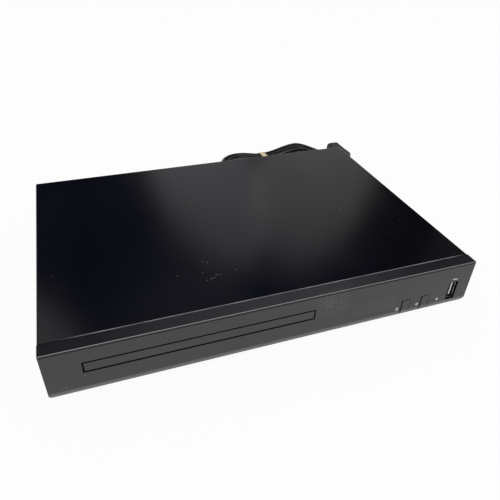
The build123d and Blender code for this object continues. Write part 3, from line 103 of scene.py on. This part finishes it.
def fold(side, start, end, z):
    """Corners round the right (1) or left (-1) end, from start to end inside the outermost turn."""
    if side > 0:
        slope, centre, corners, first = RIGHT_SLOPE, RIGHT_C, RIGHT_CORNERS, 90 + RIGHT_SLOPE
    else:
        slope, centre, corners, first = LEFT_SLOPE, -LEFT_C, LEFT_CORNERS, 270 + LEFT_SLOPE
    step = (180 + 2 * slope) / corners
    places = []
    for corner in range(corners):
        inset = start + (end - start) * (corner + 0.5) / corners
        radius = (HANK_R - inset) / math.cos(math.radians(step / 2))
        angle = math.radians(first - step * (corner + 0.5))
        places.append(hank_point(centre + radius * math.cos(angle), radius * math.sin(angle), z))
    return places


def waist(side, inset, z):
    """The point where a strand's two slopes meet, on the rear (1) or front (-1) side."""
    tan_right, tan_left = math.tan(math.radians(RIGHT_SLOPE)), math.tan(math.radians(LEFT_SLOPE))
    right_y = (HANK_R - inset) / math.cos(math.radians(RIGHT_SLOPE)) - RIGHT_C * tan_right
    left_y = (HANK_R - inset) / math.cos(math.radians(LEFT_SLOPE)) - LEFT_C * tan_left
    x = (left_y - right_y) / (tan_right + tan_left)
    return hank_point(x, side * (right_y + x * tan_right), z)


def tail():
    """The corners round which the last strand turns towards the plug, and the tail's end."""
    heading = math.radians(RIGHT_SLOPE + HANK_TURN)
    fold_x, fold_y = hank_point(RIGHT_C, 0, 0)[:2]
    tail_x = TAIL_X - TAIL_R
    start_x = tail_x - TAIL_R * math.sin(heading)
    run = start_x - fold_x + HANK_R * math.sin(heading)
    tail_y = fold_y + HANK_R * math.cos(heading) + run * math.tan(heading) - TAIL_R * math.cos(heading)
    step = (math.pi / 2 + heading) / len(TAIL_LEVELS)
    reach = TAIL_R / math.cos(step / 2)
    places = []
    for corner, level in enumerate(TAIL_LEVELS):
        angle = math.pi / 2 + heading - step * (corner + 0.5)
        places.append((tail_x + reach * math.cos(angle), tail_y + reach * math.sin(angle), level))
    return places + [(TAIL_X, TAIL_Y, TAIL_Z)]


route = [
    (-112.0, 114.5, 13.0), (-112.0, 129.0, 13.0), (-104.0, 146.0, 8.2), (-86.0, 153.5, 3.6),
    (-64.0, 151.0, TABLE), (-44.0, 141.5, TABLE), (-30.5, 129.0, TABLE), (-19.5, 118.5, TABLE),
    (-8.0, 111.4, TABLE), (3.0, 110.3, TABLE), (13.6, 113.8, TABLE), (21.8, 121.3, LAYER_1),
]
# The lead comes to the left end at its fourth corner
route += fold(-1, -HALF_PITCH, 0, LAYER_1)[3:]
route += [waist(1, 0, LAYER_1)] + fold(1, 0, HALF_PITCH, LAYER_1)
route += [waist(-1, HALF_PITCH, LAYER_1)] + fold(-1, HALF_PITCH, PITCH, LAYER_1)
route += [waist(1, PITCH, LAYER_1)] + fold(1, PITCH, 3 * HALF_PITCH, LAYER_1)
route += [waist(-1, 3 * HALF_PITCH, (LAYER_1 + LAYER_2) / 2)] + fold(-1, 3 * HALF_PITCH, PITCH, LAYER_2)
route += [waist(1, PITCH, LAYER_2)] + fold(1, PITCH, HALF_PITCH, LAYER_2)
route += [waist(-1, HALF_PITCH, LAYER_2)] + fold(-1, HALF_PITCH, 0, LAYER_2) + [waist(1, 0, LAYER_2)]
route += tail()

cord_data = bpy.data.curves.new("mains_lead", "CURVE")
cord_data.dimensions = "3D"
spline = cord_data.splines.new("NURBS")
spline.points.add(len(route) - 1)
# Each point's radius is the cord's, since the bevel is 1 m deep
for point, (x, y, z) in zip(spline.points, route):
    point.co = (x * MM, y * MM, z * MM, 1)
    point.radius = CORD_R * MM
spline.order_u = 3
spline.use_endpoint_u = True
spline.resolution_u = 10
cord_data.bevel_depth = 1.0
cord_data.bevel_resolution = 5
cord_data.use_fill_caps = True
cord = bpy.data.objects.new("mains_lead", cord_data)
bpy.context.collection.objects.link(cord)
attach(cord, "chassis")
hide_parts("cord_lead", "cord_hank", "cord_tail")


# Material nodes. Masks are made from object coordinates, which are the part's own frame.
def start_material(name):
    material = bpy.data.materials.new(name)
    material.use_nodes = True
    tree = material.node_tree
    shader = tree.nodes["Principled BSDF"]
    place = tree.nodes.new("ShaderNodeTexCoord")
    return material, tree, shader, place


def noise(tree, place, scale, detail=4.0, stretch=None):
    texture = tree.nodes.new("ShaderNodeTexNoise")
    texture.inputs["Scale"].default_value = scale
    texture.inputs["Detail"].default_value = detail
    if stretch:
        mapping = tree.nodes.new("ShaderNodeMapping")
        mapping.inputs["Scale"].default_value = stretch
        tree.links.new(place.outputs["Object"], mapping.inputs["Vector"])
        tree.links.new(mapping.outputs["Vector"], texture.inputs["Vector"])
    else:
        tree.links.new(place.outputs["Object"], texture.inputs["Vector"])
    return texture.outputs["Fac"]


def spread(tree, value, low, high, out_low, out_high):
    """Map low to high onto out_low to out_high, held at both ends."""
    node = tree.nodes.new("ShaderNodeMapRange")
    tree.links.new(value, node.inputs["Value"])
    for name, number in (("From Min", low), ("From Max", high), ("To Min", out_low), ("To Max", out_high)):
        node.inputs[name].default_value = number
    return node.outputs["Result"]


def patches(tree, value, low=0.3, high=0.7):
    """Noise spread over 0 to 1."""
    return spread(tree, value, low, high, 0, 1)


def mix(tree, factor, one, two):
    node = tree.nodes.new("ShaderNodeMix")
    node.data_type = "RGBA"
    tree.links.new(factor, node.inputs["Factor"])
    for socket, colour in ((node.inputs["A"], one), (node.inputs["B"], two)):
        if isinstance(colour, tuple):
            socket.default_value = (*colour, 1)
        else:
            tree.links.new(colour, socket)
    return node.outputs["Result"]


def grey(level):
    return level, level, level


def math_node(tree, operation, one, two):
    node = tree.nodes.new("ShaderNodeMath")
    node.operation = operation
    for socket, value in zip(node.inputs, (one, two)):
        if isinstance(value, (int, float)):
            socket.default_value = value
        else:
            tree.links.new(value, socket)
    return node.outputs["Value"]


def times(tree, first, *others):
    for other in others:
        first = math_node(tree, "MULTIPLY", first, other)
    return first


def largest(tree, first, *others):
    for other in others:
        first = math_node(tree, "MAXIMUM", first, other)
    return first


def bump(tree, shader, height, strength, distance):
    node = tree.nodes.new("ShaderNodeBump")
    node.inputs["Strength"].default_value = strength
    node.inputs["Distance"].default_value = distance
    tree.links.new(height, node.inputs["Height"])
    tree.links.new(node.outputs["Normal"], shader.inputs["Normal"])


def place_axes(tree, place):
    split = tree.nodes.new("ShaderNodeSeparateXYZ")
    tree.links.new(place.outputs["Object"], split.inputs["Vector"])
    return split.outputs["X"], split.outputs["Y"], split.outputs["Z"]


def past(tree, value, start, end):
    """0 up to start, 1 from end on; both in mm of the part's frame."""
    return spread(tree, value, start * MM, end * MM, 0, 1)


def between(tree, value, start, full, last, end):
    """0 up to start, 1 from full to last, 0 again from end on; all in mm of the part's frame."""
    return times(tree, past(tree, value, start, full), past(tree, value, end, last))


def near(tree, value, origin, *offsets):
    """between(), with its four numbers given from an origin."""
    return between(tree, value, *(origin + offset for offset in offsets))


def ellipse(tree, place, x, y, half_x, half_y):
    """1 in the middle of an ellipse on the XY plane, fading to 0 at its edge; all in mm."""
    mapping = tree.nodes.new("ShaderNodeMapping")
    mapping.inputs["Location"].default_value = (-x / half_x, -y / half_y, 0)
    mapping.inputs["Scale"].default_value = (1 / (half_x * MM), 1 / (half_y * MM), 0)
    tree.links.new(place.outputs["Object"], mapping.inputs["Vector"])
    length = tree.nodes.new("ShaderNodeVectorMath")
    length.operation = "LENGTH"
    tree.links.new(mapping.outputs["Vector"], length.inputs[0])
    return spread(tree, length.outputs["Value"], 1.0, 0.5, 0, 1)


def from_box(tree, x, z, middle, half):
    """Distance in metres from a box's outline in the XZ plane, negative inside it; the box is in mm."""
    past_sides = []
    for value, centre, reach in zip((x, z), middle, half):
        off = math_node(tree, "ABSOLUTE", math_node(tree, "SUBTRACT", value, centre * MM), 0)
        past_sides.append(math_node(tree, "SUBTRACT", off, reach * MM))
    return largest(tree, *past_sides)


def surface(name, colour, rough, grain, strength=0.25, metal=0.0, vary=0.12, patch=60.0, rough_vary=0.06,
            stretch=None, coat=0.0):
    """A material with cloudy colour, and a fine grain in its roughness and relief."""
    material, tree, shader, place = start_material(name)
    large = noise(tree, place, patch)
    fine = noise(tree, place, grain, 3.0, stretch)
    dark = tuple(max(0.0, c * (1 - vary)) for c in colour)
    light = tuple(min(1.0, c * (1 + vary)) for c in colour)
    tree.links.new(mix(tree, patches(tree, large, 0.35, 0.65), dark, light), shader.inputs["Base Color"])
    tree.links.new(spread(tree, fine, 0.3, 0.7, rough - rough_vary, rough + rough_vary),
                   shader.inputs["Roughness"])
    shader.inputs["Metallic"].default_value = metal
    if coat:
        shader.inputs["Coat Weight"].default_value = coat
        shader.inputs["Coat Roughness"].default_value = 0.1
    bump(tree, shader, fine, strength, 0.00003)
    return material


# The masks' places are in mm. A pair is where a mask starts and is full; a four adds where it fades and ends.
# The cover: where a painted highlight lies on its front edge, where a painted reflection makes its paint less
# blue, and the specks on it, each with its x, its y and its half lengths along both
EDGE_GLINT_X, EDGE_GLINT_Y, EDGE_GLINT_Z = (-126, -104, 120, 134), (-90.1, -90.25), (37.5, 37.7)
PAINTED_REFLECTION_X = (30, 100)
SPECKS = (
    (-54.1, -56.7, 0.5, 0.8), (-38.7, -57.8, 0.8, 0.5), (-35.8, -46.9, 0.7, 0.5), (-33.1, -48.9, 1.1, 0.5),
    (-37.9, -66.3, 0.7, 0.5), (-35.1, -65.2, 1.1, 0.6), (-33.0, -64.7, 1.0, 0.5), (-31.1, -62.3, 1.0, 0.7),
    (-29.0, -63.0, 0.9, 0.5), (-17.8, -61.2, 0.7, 0.5), (-23.6, 30.7, 0.8, 0.6), (80.7, -12.7, 1.2, 0.6),
    (83.3, 59.3, 0.7, 0.6), (114.8, -40.8, 0.4, 0.35), (96.6, -52.0, 0.4, 0.35), (-125.6, -35.0, 0.45, 0.4),
)


def cover_paint():
    material, tree, shader, place = start_material("cover_steel")
    x, y, z = place_axes(tree, place)
    orange_peel = noise(tree, place, 900.0, 2.0)
    cloud = noise(tree, place, 14.0, 3.0)
    base = mix(tree, patches(tree, cloud), (0.0012, 0.0015, 0.0064), (0.0018, 0.0021, 0.0076))
    # Painted reflection: towards +x the bluish paint turns neutral, as if it reflected the room
    base = mix(tree, past(tree, x, *PAINTED_REFLECTION_X), base, (0.0016, 0.0017, 0.0040))
    dust = largest(tree, *(ellipse(tree, place, *speck) for speck in SPECKS))
    # Painted highlight: a light grey line along the cover's front edge, patchy along x
    edge_glint = times(tree, past(tree, y, *EDGE_GLINT_Y), past(tree, z, *EDGE_GLINT_Z), between(tree, x, *EDGE_GLINT_X),
                 spread(tree, noise(tree, place, 45.0), 0.35, 0.6, 0.55, 1))
    base = mix(tree, edge_glint, base, grey(0.30))
    base = mix(tree, times(tree, dust, 0.45), base, (0.20, 0.19, 0.18))
    tree.links.new(base, shader.inputs["Base Color"])
    wipes = noise(tree, place, 30.0, 4.0, (1.0, 0.3, 1.0))
    tree.links.new(spread(tree, wipes, 0.3, 0.7, 0.15, 0.20), shader.inputs["Roughness"])
    bump(tree, shader, orange_peel, 0.10, 0.00004)
    return material


# The front panel: where its face, its door, its buttons and its sides are
FACE_Y = -99.5
DOOR_MIDDLE, DOOR_HALF = (-47.6, 23.45), (67.05, 3.2)
BUTTONS_X, BUTTON_TOP = (86.6, 101.4), 17.4
PANEL_SIDE = 134.5
FACE_LOW, FACE_HIGH = (8.5, 8.7), (36.3, 36.1)
# Its top, painted darker as shade with a painted lighter middle, the painted highlight on its upper edge, the
# painted shade line under it, and the lower bevel painted lighter
TOP_Y, TOP_Z, TOP_LIT_MIDDLE = (-99.15, -98.9), (37.5, 37.7), (-105, -15, 40, 95)
EDGE_Y, EDGE_Z = (-98.98, -99.12), (37.62, 37.72)
UNDER_Y, UNDER_Z = (-98.6, -98.9), (36.75, 36.9, 37.5, 37.6)
BEVEL_Z = (9.3, 9.15)
# The residue of a sticker, and two specks with the shape that both have
RESIDUE_X, RESIDUE_Y, RESIDUE_Z = (19, 25, 38, 43), (-96, -98), (18, 29)
FACE_SPECKS = ((-125.4, 11.3), (-114.6, 17.2))
SPECK_X, SPECK_Z = (-0.5, -0.3, 0.3, 0.5), (-0.4, -0.2, 0.2, 0.4)
# The outlines painted dark as shade, measured from the door's edge, from its lower edge, and from a button's
# middle and top
DOOR_GAP = (-0.4, -0.2, 0.6, 0.8)
LOWER_GAP = (-0.85, -0.7, 0.45, 0.6)
BUTTON_LEFT_X = (-3.8, -3.65, -2.8, -2.65)
BUTTON_TOP_X, BUTTON_TOP_Z = (-3.6, -3.4, 0.6, 2.4), (-0.2, -0.05, 0.35, 0.5)
# Gaps painted pale, as painted light over their shade: round the window and right of each button
LIT_GAPS = ((43, 44, 78, 79), (89.3, 89.5, 90.8, 91), (104.1, 104.3, 105.8, 106))


def edge_light_and_shade(tree, y, z, base):
    """Painted highlight on the upper edge, painted shade in the line under it, and painted light on the lower
    bevel.
    """
    edge = times(tree, past(tree, y, *EDGE_Y), past(tree, z, *EDGE_Z))
    base = mix(tree, edge, base, grey(0.36))
    under = times(tree, between(tree, z, *UNDER_Z), past(tree, y, *UNDER_Y))
    base = mix(tree, under, base, grey(0.012))
    bevel = times(tree, past(tree, z, *BEVEL_Z), 0.95)
    return mix(tree, bevel, base, (0.098, 0.095, 0.092))


def face_marks(tree, place, x, y, z, base):
    """Two pale specks, and the residue of a sticker."""
    for speck_x, speck_z in FACE_SPECKS:
        speck = times(tree, near(tree, x, speck_x, *SPECK_X), near(tree, z, speck_z, *SPECK_Z))
        base = mix(tree, times(tree, speck, 0.6), base, grey(0.25))
    residue = times(tree, between(tree, x, *RESIDUE_X), past(tree, z, *RESIDUE_Z), past(tree, y, *RESIDUE_Y),
                    spread(tree, noise(tree, place, 420.0, 3.0), 0.46, 0.66, 0.05, 0.5))
    return mix(tree, residue, base, grey(0.11))


def gap_shadows(tree, x, z):
    """Painted shade: 1 on the tray door's outline and on the buttons' left and upper edges, a little past the
    real gaps.
    """
    door = from_box(tree, x, z, DOOR_MIDDLE, DOOR_HALF)
    door_low = DOOR_MIDDLE[1] - DOOR_HALF[1]
    lower = times(tree, near(tree, z, door_low, *LOWER_GAP), past(tree, door, DOOR_GAP[3], DOOR_GAP[2]))
    gap = largest(tree, between(tree, door, *DOOR_GAP), lower)
    for button_x in BUTTONS_X:
        left = times(tree, near(tree, x, button_x, *BUTTON_LEFT_X),
                     past(tree, z, BUTTON_TOP + 0.5, BUTTON_TOP + 0.3))
        top = times(tree, near(tree, x, button_x, *BUTTON_TOP_X),
                    near(tree, z, BUTTON_TOP, *BUTTON_TOP_Z), 0.8)
        gap = largest(tree, gap, left, top)
    return gap


def panel_plastic():
    material, tree, shader, place = start_material("panel_plastic")
    x, y, z = place_axes(tree, place)
    fine = noise(tree, place, 2600.0, 2.0)
    cloud = noise(tree, place, 22.0, 3.0)
    plain = mix(tree, patches(tree, cloud), (0.0265, 0.026, 0.026), (0.035, 0.0343, 0.034))
    # Painted shade: the top is darker than the face, with a painted lighter middle, since light falls mostly
    # from the front
    middle = between(tree, x, *TOP_LIT_MIDDLE)
    top_shade = mix(tree, times(tree, middle, spread(tree, cloud, 0.3, 0.7, 0.7, 1.2)),
                (0.0112, 0.0108, 0.0175), (0.035, 0.0345, 0.042))
    on_top = times(tree, past(tree, z, *TOP_Z), past(tree, y, *TOP_Y))
    base = edge_light_and_shade(tree, y, z, mix(tree, on_top, plain, top_shade))
    base = face_marks(tree, place, x, y, z, base)
    on_face = times(tree, past(tree, z, *FACE_LOW), past(tree, z, *FACE_HIGH))
    # Painted light: the walls of these gaps are pale so their shade hardly shows, and they take no painted
    # shade
    lit_gaps = largest(tree, *(between(tree, x, *span) for span in LIT_GAPS))
    pale = times(tree, lit_gaps, past(tree, y, FACE_Y + 0.05, FACE_Y + 0.15), on_face)
    base = mix(tree, pale, base, grey(0.19))
    # Painted shade: inner walls deeper than the face, the door's outline and the buttons' left and upper
    # edges turn near black
    behind = times(tree, past(tree, y, FACE_Y + 0.3, FACE_Y + 0.5), on_face,
                   between(tree, x, -PANEL_SIDE - 0.1, -PANEL_SIDE + 0.1, PANEL_SIDE - 0.1, PANEL_SIDE + 0.1),
                   math_node(tree, "SUBTRACT", 1.0, lit_gaps))
    dark = largest(tree, gap_shadows(tree, x, z), behind)
    base = mix(tree, dark, base, grey(0.002))
    tree.links.new(base, shader.inputs["Base Color"])
    tree.links.new(spread(tree, fine, 0.3, 0.7, 0.42, 0.52), shader.inputs["Roughness"])
    dull = largest(tree, dark, times(tree, on_top, past(tree, x, -96, -106), 0.5))
    tree.links.new(spread(tree, dull, 0, 1, 0.5, 0.05), shader.inputs["Specular IOR Level"])
    bump(tree, shader, fine, 0.3, 0.00003)
    return material


def window_plastic():
    material, tree, shader, place = start_material("window_plastic")
    fine = noise(tree, place, 1400.0, 2.0)
    base = mix(tree, patches(tree, noise(tree, place, 30.0)), (0.0265, 0.026, 0.026), (0.033, 0.0323, 0.032))
    tree.links.new(base, shader.inputs["Base Color"])
    tree.links.new(spread(tree, fine, 0.3, 0.7, 0.36, 0.42), shader.inputs["Roughness"])
    bump(tree, shader, fine, 0.15, 0.00002)
    return material


def board_material():
    material, tree, shader, place = start_material("board_green")
    bricks = tree.nodes.new("ShaderNodeTexBrick")
    bricks.inputs["Scale"].default_value = 160.0
    bricks.inputs["Mortar Size"].default_value = 0.035
    bricks.inputs["Color1"].default_value = (0.012, 0.085, 0.030, 1)
    bricks.inputs["Color2"].default_value = (0.016, 0.105, 0.038, 1)
    bricks.inputs["Mortar"].default_value = (0.03, 0.19, 0.07, 1)
    tree.links.new(place.outputs["Object"], bricks.inputs["Vector"])
    pads = tree.nodes.new("ShaderNodeTexVoronoi")
    pads.inputs["Scale"].default_value = 380.0
    tree.links.new(place.outputs["Object"], pads.inputs["Vector"])
    dots = spread(tree, pads.outputs["Distance"], 0.16, 0.12, 0, 1)
    tree.links.new(mix(tree, dots, bricks.outputs["Color"], (0.55, 0.53, 0.50)), shader.inputs["Base Color"])
    shader.inputs["Roughness"].default_value = 0.35
    bump(tree, shader, bricks.outputs["Fac"], 0.4, 0.00003)
    return material


# The USB socket behind the front panel: the area that shaded_behind() darkens, the depths from which its
# shell and its tongue are dark, and the line left of which the tongue is
SOCKET_REAR = (-70, -72)
SOCKET_LEFT = (115, 116)
SHELL_DARK_Y, TONGUE_DARK_Y, TONGUE_DARK_X = -98.2, -96.8, 122.5


def shaded_behind(material, limit, colour, left=0.0):
    """Darken a front socket's material left of a line, and behind a depth that little light reaches."""
    tree = material.node_tree
    shader = tree.nodes["Principled BSDF"]
    place = tree.nodes.new("ShaderNodeTexCoord")
    x, y = place_axes(tree, place)[:2]
    dim = largest(tree, past(tree, y, limit, limit + 0.3), past(tree, x, left + 0.1, left - 0.1))
    deep = times(tree, dim, past(tree, y, *SOCKET_REAR), past(tree, x, *SOCKET_LEFT))
    written = shader.inputs["Base Color"].links[0].from_socket
    tree.links.new(mix(tree, deep, written, colour), shader.inputs["Base Color"])
    tree.links.new(spread(tree, deep, 0, 1, 0.5, 0.05), shader.inputs["Specular IOR Level"])


def glass(name):
    material, tree, shader, place = start_material(name)
    shader.inputs["Transmission Weight"].default_value = 0.75
    shader.inputs["IOR"].default_value = 1.5
    tint = mix(tree, noise(tree, place, 300.0), (0.62, 0.66, 0.70), (0.75, 0.78, 0.82))
    tree.links.new(tint, shader.inputs["Base Color"])
    tree.links.new(spread(tree, noise(tree, place, 500.0), 0.3, 0.7, 0.04, 0.08), shader.inputs["Roughness"])
    return material


looks = {
    "cover_steel": cover_paint(),
    "panel_plastic": panel_plastic(),
    "window_plastic": window_plastic(),
    "board_green": board_material(),
    "lens_glass": glass("lens_glass"),
}
# Colour, roughness, and the scale of the grain, with what else differs
SURFACES = {
    "clear_plastic": ((0.50, 0.50, 0.50), 0.2, 800.0, dict(coat=0.3)),
    "zinc_sheet": ((0.50, 0.50, 0.48), 0.36, 700.0, dict(metal=1.0, vary=0.14, patch=220.0)),
    "screw_black": ((0.02, 0.02, 0.021), 0.32, 1500.0, dict(metal=0.6)),
    "foot_rubber": ((0.018, 0.018, 0.018), 0.75, 1800.0, dict(vary=0.2)),
    "loader_plastic": ((0.022, 0.022, 0.023), 0.5, 1800.0, {}),
    "tray_plastic": ((0.024, 0.024, 0.025), 0.48, 2200.0, dict(strength=0.35)),
    "gear_plastic": ((0.70, 0.69, 0.64), 0.42, 900.0, dict(vary=0.05)),
    "motor_steel": ((0.55, 0.55, 0.54), 0.3, 900.0, dict(metal=1.0, stretch=(1.0, 1.0, 0.1))),
    "polished_steel": ((0.68, 0.68, 0.69), 0.16, 1600.0, dict(metal=1.0, strength=0.1)),
    "belt_rubber": ((0.016, 0.016, 0.016), 0.6, 1800.0, {}),
    "component_black": ((0.018, 0.018, 0.019), 0.45, 1600.0, {}),
    "sink_aluminium": ((0.62, 0.63, 0.64), 0.34, 500.0, dict(metal=1.0, stretch=(0.1, 1.0, 1.0))),
    "capacitor_sleeve": ((0.02, 0.022, 0.06), 0.28, 900.0, dict(coat=0.3)),
    "transformer_tape": ((0.62, 0.48, 0.06), 0.4, 700.0, dict(stretch=(1.0, 1.0, 0.2))),
    "socket_metal": ((0.62, 0.61, 0.58), 0.24, 1200.0, dict(metal=1.0, vary=0.08)),
    "tongue_plastic": ((0.60, 0.60, 0.57), 0.4, 1200.0, dict(vary=0.05)),
    "socket_black": ((0.02, 0.02, 0.021), 0.5, 1800.0, {}),
    "insert_yellow": ((0.78, 0.56, 0.04), 0.38, 1200.0, dict(vary=0.06)),
    "insert_white": ((0.74, 0.74, 0.72), 0.38, 1200.0, dict(vary=0.04)),
    "insert_red": ((0.55, 0.025, 0.025), 0.38, 1200.0, dict(vary=0.08)),
    "ribbon_white": ((0.72, 0.72, 0.69), 0.4, 900.0, dict(stretch=(1.0, 0.05, 1.0))),
    "wire_insulation": ((0.10, 0.035, 0.018), 0.35, 1200.0, {}),
    "cord_pvc": ((0.016, 0.016, 0.017), 0.34, 900.0,
                 dict(strength=0.02, vary=0.15, rough_vary=0.03, coat=0.2)),
    "tie_paper": ((0.82, 0.67, 0.42), 0.7, 900.0, dict(vary=0.14, patch=400.0)),
    "plug_plastic": ((0.036, 0.036, 0.036), 0.45, 1800.0, dict(strength=0.35)),
    "pin_brass": ((0.62, 0.60, 0.52), 0.28, 1400.0, dict(metal=1.0)),
    "print_mark": ((0.60, 0.60, 0.59), 0.5, 2500.0, dict(vary=0.2, patch=900.0)),
}
for name, (colour, rough, grain, more) in SURFACES.items():
    looks[name] = surface(name, colour, rough, grain, **more)
shaded_behind(looks["socket_metal"], SHELL_DARK_Y, grey(0.012))
shaded_behind(looks["tongue_plastic"], TONGUE_DARK_Y, grey(0.006), TONGUE_DARK_X)
for entry in frame["record"]["subparts"]:
    piece = bpy.data.objects[entry["node"]]
    look = looks[entry["material_slot"]]
    if not piece.data.materials:
        piece.data.materials.append(look)
    for slot in piece.material_slots:
        slot.material = look
cord_data.materials.append(looks["cord_pvc"])

# Marks beside the buttons and over the socket, printed on the face, and how far they reach out and in, in mm
MARK_PROUD, MARK_DEEP = 0.03, 0.02


def mark(name, outlines):
    """A flat piece on the face, from outlines of x and z in mm."""
    mesh = bpy.data.meshes.new(name)
    shape = bmesh.new()
    for outline in outlines:
        corners = [shape.verts.new((x * MM, (FACE_Y - MARK_PROUD) * MM, z * MM)) for x, z in outline]
        shape.faces.new(corners)
    thick = bmesh.ops.extrude_face_region(shape, geom=shape.faces[:])
    moved = [item for item in thick["geom"] if isinstance(item, bmesh.types.BMVert)]
    bmesh.ops.translate(shape, verts=moved, vec=(0, (MARK_PROUD + MARK_DEEP) * MM, 0))
    bmesh.ops.recalc_face_normals(shape, faces=shape.faces[:])
    shape.to_mesh(mesh)
    shape.free()
    piece = bpy.data.objects.new(name, mesh)
    bpy.context.collection.objects.link(piece)
    mesh.materials.append(looks["print_mark"])
    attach(piece, "chassis")


def ring(x, z, outer, inner, count=20):
    """Four-sided outlines that make up a ring."""
    turns = [2 * math.pi * step / count for step in range(count + 1)]
    edges = [[(x + reach * math.cos(turn), z + reach * math.sin(turn)) for turn in turns]
             for reach in (outer, inner)]
    return [[edges[0][k], edges[0][k + 1], edges[1][k + 1], edges[1][k]] for k in range(count)]


mark("mark_open", [[(79.2, 11.2), (81.4, 11.2), (80.3, 12.9)],
                   [(79.2, 10.2), (81.4, 10.2), (81.4, 10.7), (79.2, 10.7)]])
mark("mark_ring", ring(95.6, 11.5, 1.05, 0.45))
mark("mark_socket", [[(119.6, 26.0), (122.8, 26.0), (122.8, 26.5), (119.6, 26.5)],
                     [(122.8, 25.6), (124.1, 26.25), (122.8, 26.9)],
                     [(120.4, 26.5), (121.1, 26.5), (121.7, 27.1), (121.0, 27.1)]])


# Floor and studio
def light_path(tree, *rays):
    """1 for the given kinds of ray."""
    path = tree.nodes.new("ShaderNodeLightPath")
    return largest(tree, *(path.outputs[ray] for ray in rays))


def background(tree, colour):
    node = tree.nodes.new("ShaderNodeBackground")
    node.inputs["Color"].default_value = (*colour, 1)
    return node


def choose(tree, factor, one, two):
    """One shader where the factor is 0 and the other where it is 1."""
    node = tree.nodes.new("ShaderNodeMixShader")
    tree.links.new(factor, node.inputs["Fac"])
    tree.links.new(one, node.inputs[1])
    tree.links.new(two, node.inputs[2])
    return node.outputs["Shader"]


FLOOR_HALF = 6.0
FLOOR_WHITE = 0.94
floor_mesh = bpy.data.meshes.new("floor")
shape = bmesh.new()
bmesh.ops.create_grid(shape, x_segments=1, y_segments=1, size=FLOOR_HALF)
shape.to_mesh(floor_mesh)
shape.free()
floor = bpy.data.objects.new("floor", floor_mesh)
bpy.context.collection.objects.link(floor)
floor_look = bpy.data.materials.new("floor")
floor_look.use_nodes = True
tree = floor_look.node_tree
tree.nodes.clear()
output = tree.nodes.new("ShaderNodeOutputMaterial")
matte = tree.nodes.new("ShaderNodeBsdfDiffuse")
matte.inputs["Color"].default_value = (0.9, 0.9, 0.9, 1)
white = tree.nodes.new("ShaderNodeEmission")
white.inputs["Color"].default_value = (1, 1, 1, 1)
shown = times(tree, light_path(tree, "Is Camera Ray", "Is Glossy Ray", "Is Transmission Ray"), FLOOR_WHITE)
seen = choose(tree, shown, matte.outputs["BSDF"], white.outputs["Emission"])
tree.links.new(seen, output.inputs["Surface"])
floor_mesh.materials.append(floor_look)

# The studio lights matte surfaces evenly. For glossy ones it is white at the horizon and darker overhead.
HORIZON, OVERHEAD = 0.03, 0.26
HORIZON_LIGHT, OVERHEAD_LIGHT = 1.0, 0.012
world = bpy.data.worlds.new("world")
bpy.context.scene.world = world
world.use_nodes = True
tree = world.node_tree
tree.nodes.clear()
output = tree.nodes.new("ShaderNodeOutputWorld")
direction = tree.nodes.new("ShaderNodeTexCoord")
split = tree.nodes.new("ShaderNodeSeparateXYZ")
tree.links.new(direction.outputs["Generated"], split.inputs["Vector"])
soft = background(tree, (0.62, 0.62, 0.625))
plain = background(tree, (1, 1, 1))
room = background(tree, (0.92, 0.95, 1.0))
room_light = spread(tree, split.outputs["Z"], HORIZON, OVERHEAD, HORIZON_LIGHT, OVERHEAD_LIGHT)
tree.links.new(room_light, room.inputs["Strength"])
glossy = choose(tree, light_path(tree, "Is Glossy Ray", "Is Transmission Ray"),
                soft.outputs["Background"], room.outputs["Background"])
seen = choose(tree, light_path(tree, "Is Camera Ray"), glossy, plain.outputs["Background"])
tree.links.new(seen, output.inputs["Surface"])


def lamp(name, azimuth, elevation, width, height, radiance, distance=4.0, lean=0.0, shape="ELLIPSE",
         colour=(1.0, 1.0, 1.0)):
    """A flat lamp aimed at the object. Azimuth runs from +Y towards +X; width and height are in degrees."""
    data = bpy.data.lights.new(name, "AREA")
    data.shape = shape
    data.size = 2 * distance * math.tan(math.radians(width / 2))
    data.size_y = 2 * distance * math.tan(math.radians(height / 2))
    area = data.size * data.size_y * (math.pi / 4 if shape == "ELLIPSE" else 1)
    data.energy = radiance * math.pi * area
    data.color = colour
    flat = math.cos(math.radians(elevation))
    away = Vector((flat * math.sin(math.radians(azimuth)), flat * math.cos(math.radians(azimuth)),
                   math.sin(math.radians(elevation))))
    lamp_object = bpy.data.objects.new(name, data)
    bpy.context.collection.objects.link(lamp_object)
    lamp_object.location = away * distance
    turned = away.to_track_quat("Z", "Y") @ Quaternion((0, 0, 1), math.radians(lean))
    lamp_object.rotation_euler = turned.to_euler()


# The cards show on the glossy cover as soft lights, and the front lamp lights the face
lamp("rear_card_left", 14.0, 26.5, 12.3, 25.5, 0.48, lean=25)
lamp("rear_card_right", 29.6, 25.0, 14.4, 25, 0.47, lean=-10, colour=(1.0, 0.98, 0.94))
lamp("left_card", -22.4, 47, 21, 24, 0.56, colour=(1.0, 0.93, 0.86))
lamp("right_card", 55, 33, 14, 18, 0.08)
lamp("ceiling_card", 10, 45, 16, 12, 0.10)
lamp("front_lamp", 190, 38, 50, 36, 1.5, distance=3.0, shape="RECTANGLE")

bpy.context.view_layer.update()
